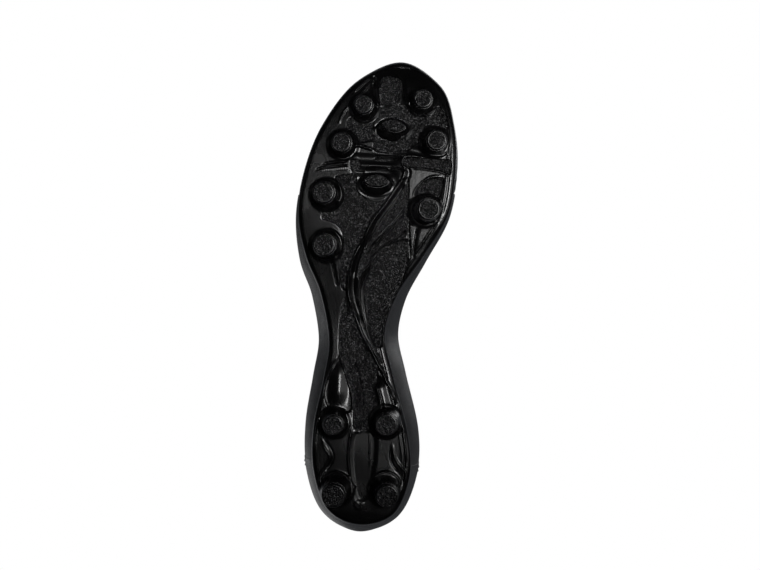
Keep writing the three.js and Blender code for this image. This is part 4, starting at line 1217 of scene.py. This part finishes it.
def add_tongue():
    w = np.linspace(-TONGUE_REACH, TONGUE_REACH, 72)[None, :]
    share = np.linspace(0, 1, 190)[:, None]
    s = 2 * share * (1 - 0.28 * np.clip(share * 2 - 1.5, 0, None) * np.abs(w / TONGUE_REACH) ** 3)
    w = np.broadcast_to(w, s.shape)
    centre = tongue_face(0, s[:, s.shape[1] // 2])
    run = run_along(centre)[:, None]
    proud, backing = tongue_proud(w, run)
    outer = raised(tongue_face, w, s, proud - TONGUE_DEPTH)
    inner = raised(tongue_face, w, s, -TONGUE_DEPTH - 5.2 - backing)
    points, faces = leaf(outer, inner, round_edge=1.0)
    piece = make_mesh("tongue", points, faces, KNIT)
    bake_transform(piece)
    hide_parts("tongue_face", "tongue_padding", "tongue_top_face", "tongue_top_padding")


def add_tongue_loop():
    """Flat keeper sewn across the tongue, arched a little off it, between two rows of lace."""
    half = 0.46
    across = np.linspace(-half, half, 30)[:, None]
    w, s = np.broadcast_arrays(across, np.linspace(0.585, 0.655, 8)[None, :])
    lift = 1.3 + 0.45 * (1 - (w / half) ** 4)
    outer = raised(tongue_face, w, s, lift - TONGUE_DEPTH)
    inner = raised(tongue_face, w, s, lift - 0.6 - TONGUE_DEPTH)
    points, faces = leaf(outer, inner)
    piece = make_mesh("tongue_keeper", points, faces, WEBBING)
    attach(piece, "shoe")
    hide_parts("tongue_loop")


# ---------------------------------------------------------------- lace and pull tab
def lace_route():
    """Points and surface directions of straight bar lacing, from row to row under the eyestays."""
    under, over, bar = 4.7, LACE_R + 2.0, TONGUE_DEPTH - GAP - LACE_R - 0.7
    spots = eyelet_spots()
    sides = {"lateral": spots[:EYELET_ROWS], "medial": spots[EYELET_ROWS:]}
    hop = {"lateral": -0.16, "medial": 0.16}   # stations run under the eyestay towards the next row
    points, ups = [], []

    def pin(surface, a, b, height):
        points.append(raised(surface, float(a), float(b), height))
        ups.append(normal(surface, float(a), float(b)))

    def bar_surface(a, b):
        return throat(-b, a)

    for row in range(EYELET_ROWS):
        first, last = ("medial", "lateral") if row % 2 else ("lateral", "medial")
        start, end = sides[first][row], sides[last][row]
        sign = 1 if row % 2 else -1
        pin(upper, start[0] - hop[first], start[1], -under)
        pin(upper, start[0], start[1], -1.0)
        pin(upper, start[0], start[1] + 0.03, over)
        for w in (1.02, 0.55, 0, -0.55, -1.02):
            height = -lerp(bar, -over, float(smooth(0.35, 1, abs(w))))
            pin(bar_surface, w * sign, -sides["lateral"][row][0], height)
        pin(upper, end[0], end[1] + 0.03, over)
        pin(upper, end[0], end[1], -1.0)
        pin(upper, end[0] + hop[last], end[1], -under)
    return np.array(points), np.array(ups)


def add_lace():
    """Flat braided lace, wider than it is thick."""
    points, ups = lace_route()
    both = evenly(curve(np.hstack([points, ups]), steps=10), 0.55)
    path, lift = both[:, :3], unit(both[:, 3:])
    for _ in range(3):
        lift[1:-1] = unit(lift[:-2] + lift[1:-1] * 2 + lift[2:])
    sides = 14
    shape, faces = ring_stack(tube(path, 1.75, 0.85, sides=sides, ups=lift))
    run = run_along(path) * 3.1
    angle = np.tile(turns(sides) * 3, len(path))
    piece = make_mesh("lace_cord", shape, faces, LACE, {"turn": angle, "run": np.repeat(run, sides)})
    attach(piece, "shoe")
    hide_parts("lace")


def tab_line():
    """y, z line of the pull tab's loop, from outside the heel, over the collar and down inside it."""
    def at(v, height):
        return raised(upper, 0.0, v, height)[1:]

    leg_out, top_out = at(0.8, 1.9), at(0.985, 1.9)
    top_in, leg_in = at(0.985, -10.3), at(0.93, -10.6)
    crest = top_out[1] + 5.2
    over = [(lerp(top_out[0], top_in[0], share), crest - drop)
            for share, drop in ((0.22, 0.9), (0.5, 0), (0.8, 1.2))]
    knots = [leg_out, lerp(leg_out, top_out, 0.5), top_out, *over, top_in, leg_in]
    return evenly(curve(knots, steps=10), 0.6)


def add_pull_tab(stitches):
    """Folded webbing loop over the back of the collar."""
    line = tab_line()
    across = np.linspace(-6, 6, 15)
    tangent = unit(np.gradient(line, axis=0))
    out = np.stack([tangent[:, 1], -tangent[:, 0]], -1)
    out *= np.sign(out[0, 0]) or 1

    def face(height):
        grid = np.zeros((len(line), len(across), 3))
        grid[..., 0] = STATIONS[0, 0] + across[None, :]
        grid[..., 1:] = (line + out * height)[:, None]
        return grid

    points, faces = leaf(face(0.55), face(-0.55), round_edge=0.9)
    piece = make_mesh("pull_tab", points, faces, WEBBING)
    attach(piece, "shoe")
    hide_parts("heel_pull_tab")
    spots = face(0.6)
    for path in (spots[1:14, 2], spots[1:14, 12], spots[2, 2:13], spots[7, 2:13]):
        stitches.row(path, np.tile([0, 1.0, 0.1], (len(path), 1)), pitch=2.4)


# ---------------------------------------------------------------- hidden pieces keep their solids
def paint_hidden_nodes():
    finish = {"lasting_board_toe": BOARD, "lasting_board_rear": BOARD, "heel_cushion": FOAM,
              "toe_puff": STIFFENER, "heel_counter": STIFFENER}
    for name, material in finish.items():
        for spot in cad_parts[name].material_slots:
            spot.material = material


# ---------------------------------------------------------------- camera, light and floor
CAMERA_AT = (0.00652, -0.00713, -0.920)   # under the shoe, on the axis of the view
VIEW_WIDTH = 0.4598                       # width of the view at the sole
SOLE_DISTANCE = 0.950
SENSOR = 36.0
ROLL = math.radians(4.78)                 # the toe leans to the right of upright
FLOOR_Z = -0.6
# Name, place, aim, size, watts, and spread in degrees.
LIGHTS = (
    ("key_below", (0.26, -0.13, -0.85), (0.03, -0.065, 0.02), (0.28, 0.26), 0.2, 30),
    ("medial_strip", (0.7, -0.12, -0.6), (0.0, -0.03, 0.02), (0.35, 0.5), 0.7),
    ("side_below", (-0.75, -0.25, -0.4), (-0.02, 0, 0.02), (0.3, 0.3), 0.04),
    ("overhead_front", (0.55, -0.6, 1.0), (0, 0, 0.04), (0.7, 0.7), 3.6),
    ("overhead_rear", (-0.6, 0.6, 0.95), (0, 0, 0.04), (0.9, 0.9), 1.4),
)


def add_camera():
    data = bpy.data.cameras.new("camera")
    data.sensor_width = SENSOR
    data.lens = SENSOR * SOLE_DISTANCE / VIEW_WIDTH
    data.clip_start = -CAMERA_AT[2] - 0.0003   # past the floor, short of the stud tips
    data.clip_end = 10
    camera = add_object("camera", data)
    right = Vector((math.cos(ROLL), -math.sin(ROLL), 0))
    up = Vector((-math.sin(ROLL), -math.cos(ROLL), 0))
    back = right.cross(up)
    camera.matrix_world = Matrix.Translation(CAMERA_AT) @ Matrix((right, up, back)).transposed().to_4x4()
    bpy.context.scene.camera = camera


def add_light(name, at, aim, size, power, spread=180):
    data = bpy.data.lights.new(name, "AREA")
    data.spread = math.radians(spread)
    data.shape = "RECTANGLE"
    data.size, data.size_y = size
    data.energy = power
    light = add_object(name, data)
    light.location = at
    light.rotation_euler = (Vector(aim) - Vector(at)).to_track_quat("-Z", "Y").to_euler()


def add_floor():
    """A pale floor that only the camera's rays meet, so light and reflections pass it."""
    material, tree, shader = new_material("pale_floor", (0.86, 0.86, 0.85), 0.6)
    mottle = noise(tree, 6.0, 3.0)
    tint(tree, shader, mottle, (0.85, 0.85, 0.845), (0.88, 0.88, 0.875))
    shader.inputs["Emission Color"].default_value = (1, 1, 1, 1)
    shader.inputs["Emission Strength"].default_value = 0.6
    reach = 2500
    corners = [(x * reach, y * reach, FLOOR_Z) for x, y in ((-1, -1), (1, -1), (1, 1), (-1, 1))]
    floor = make_mesh("floor", corners, [(0, 1, 2, 3)], material)
    for ray in ("visible_shadow", "visible_diffuse", "visible_glossy", "visible_transmission"):
        setattr(floor, ray, False)


def add_world():
    """White to the camera; to the shoe, dark below, brightest part way up and dim overhead."""
    world = bpy.data.worlds.new("studio")
    world.use_nodes = True
    bpy.context.scene.world = world
    tree = world.node_tree
    seen = node(tree, "Background", Color=(1, 1, 1, 1), Strength=1.0)
    lighting = tree.nodes["Background"]
    height = node(tree, "SeparateXYZ", Vector=node(tree, "TexCoord").outputs["Generated"]).outputs[2]
    climb = ramp(tree, height, 0.14, 0.6, 0.009, 0.3)
    fall = ramp(tree, height, 0.6, 0.95, 1.0, 0.22)
    tree.links.new(maths(tree, "MULTIPLY", climb, fall), lighting.inputs["Strength"])
    lighting.inputs["Color"].default_value = (0.9, 0.93, 1, 1)
    ray = node(tree, "LightPath").outputs["Is Camera Ray"]
    mixed = node(tree, "MixShader", i0=ray, i1=lighting.outputs[0], i2=seen.outputs[0])
    tree.links.new(mixed.outputs[0], tree.nodes["World Output"].inputs["Surface"])


def add_stage():
    add_floor()
    add_world()
    bpy.context.scene.view_settings.view_transform = "Standard"
    for light in LIGHTS:
        add_light(*light)


add_camera()
add_stage()
add_outsole()
for stud_name, stud_facts in STUDS.items():
    stud_shank(stud_name, stud_facts)
    stud_tip(stud_name, stud_facts)
upper_stitches, shoe_stitches = Stitches(), Stitches()
add_vamp(upper_stitches)
add_quarter("lateral", upper_stitches)
add_quarter("medial", upper_stitches)
add_eyestay(upper_stitches)
add_heel(shoe_stitches)
add_collar(shoe_stitches)
add_lining()
add_sockliner()
add_tongue()
add_tongue_loop()
add_lace()
add_pull_tab(shoe_stitches)
paint_hidden_nodes()
upper_thread = upper_stitches.parts.build("upper_stitching", THREAD)
bend(upper_thread)
shoe_thread = shoe_stitches.parts.build("heel_stitching", THREAD)
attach(shoe_thread, "shoe")
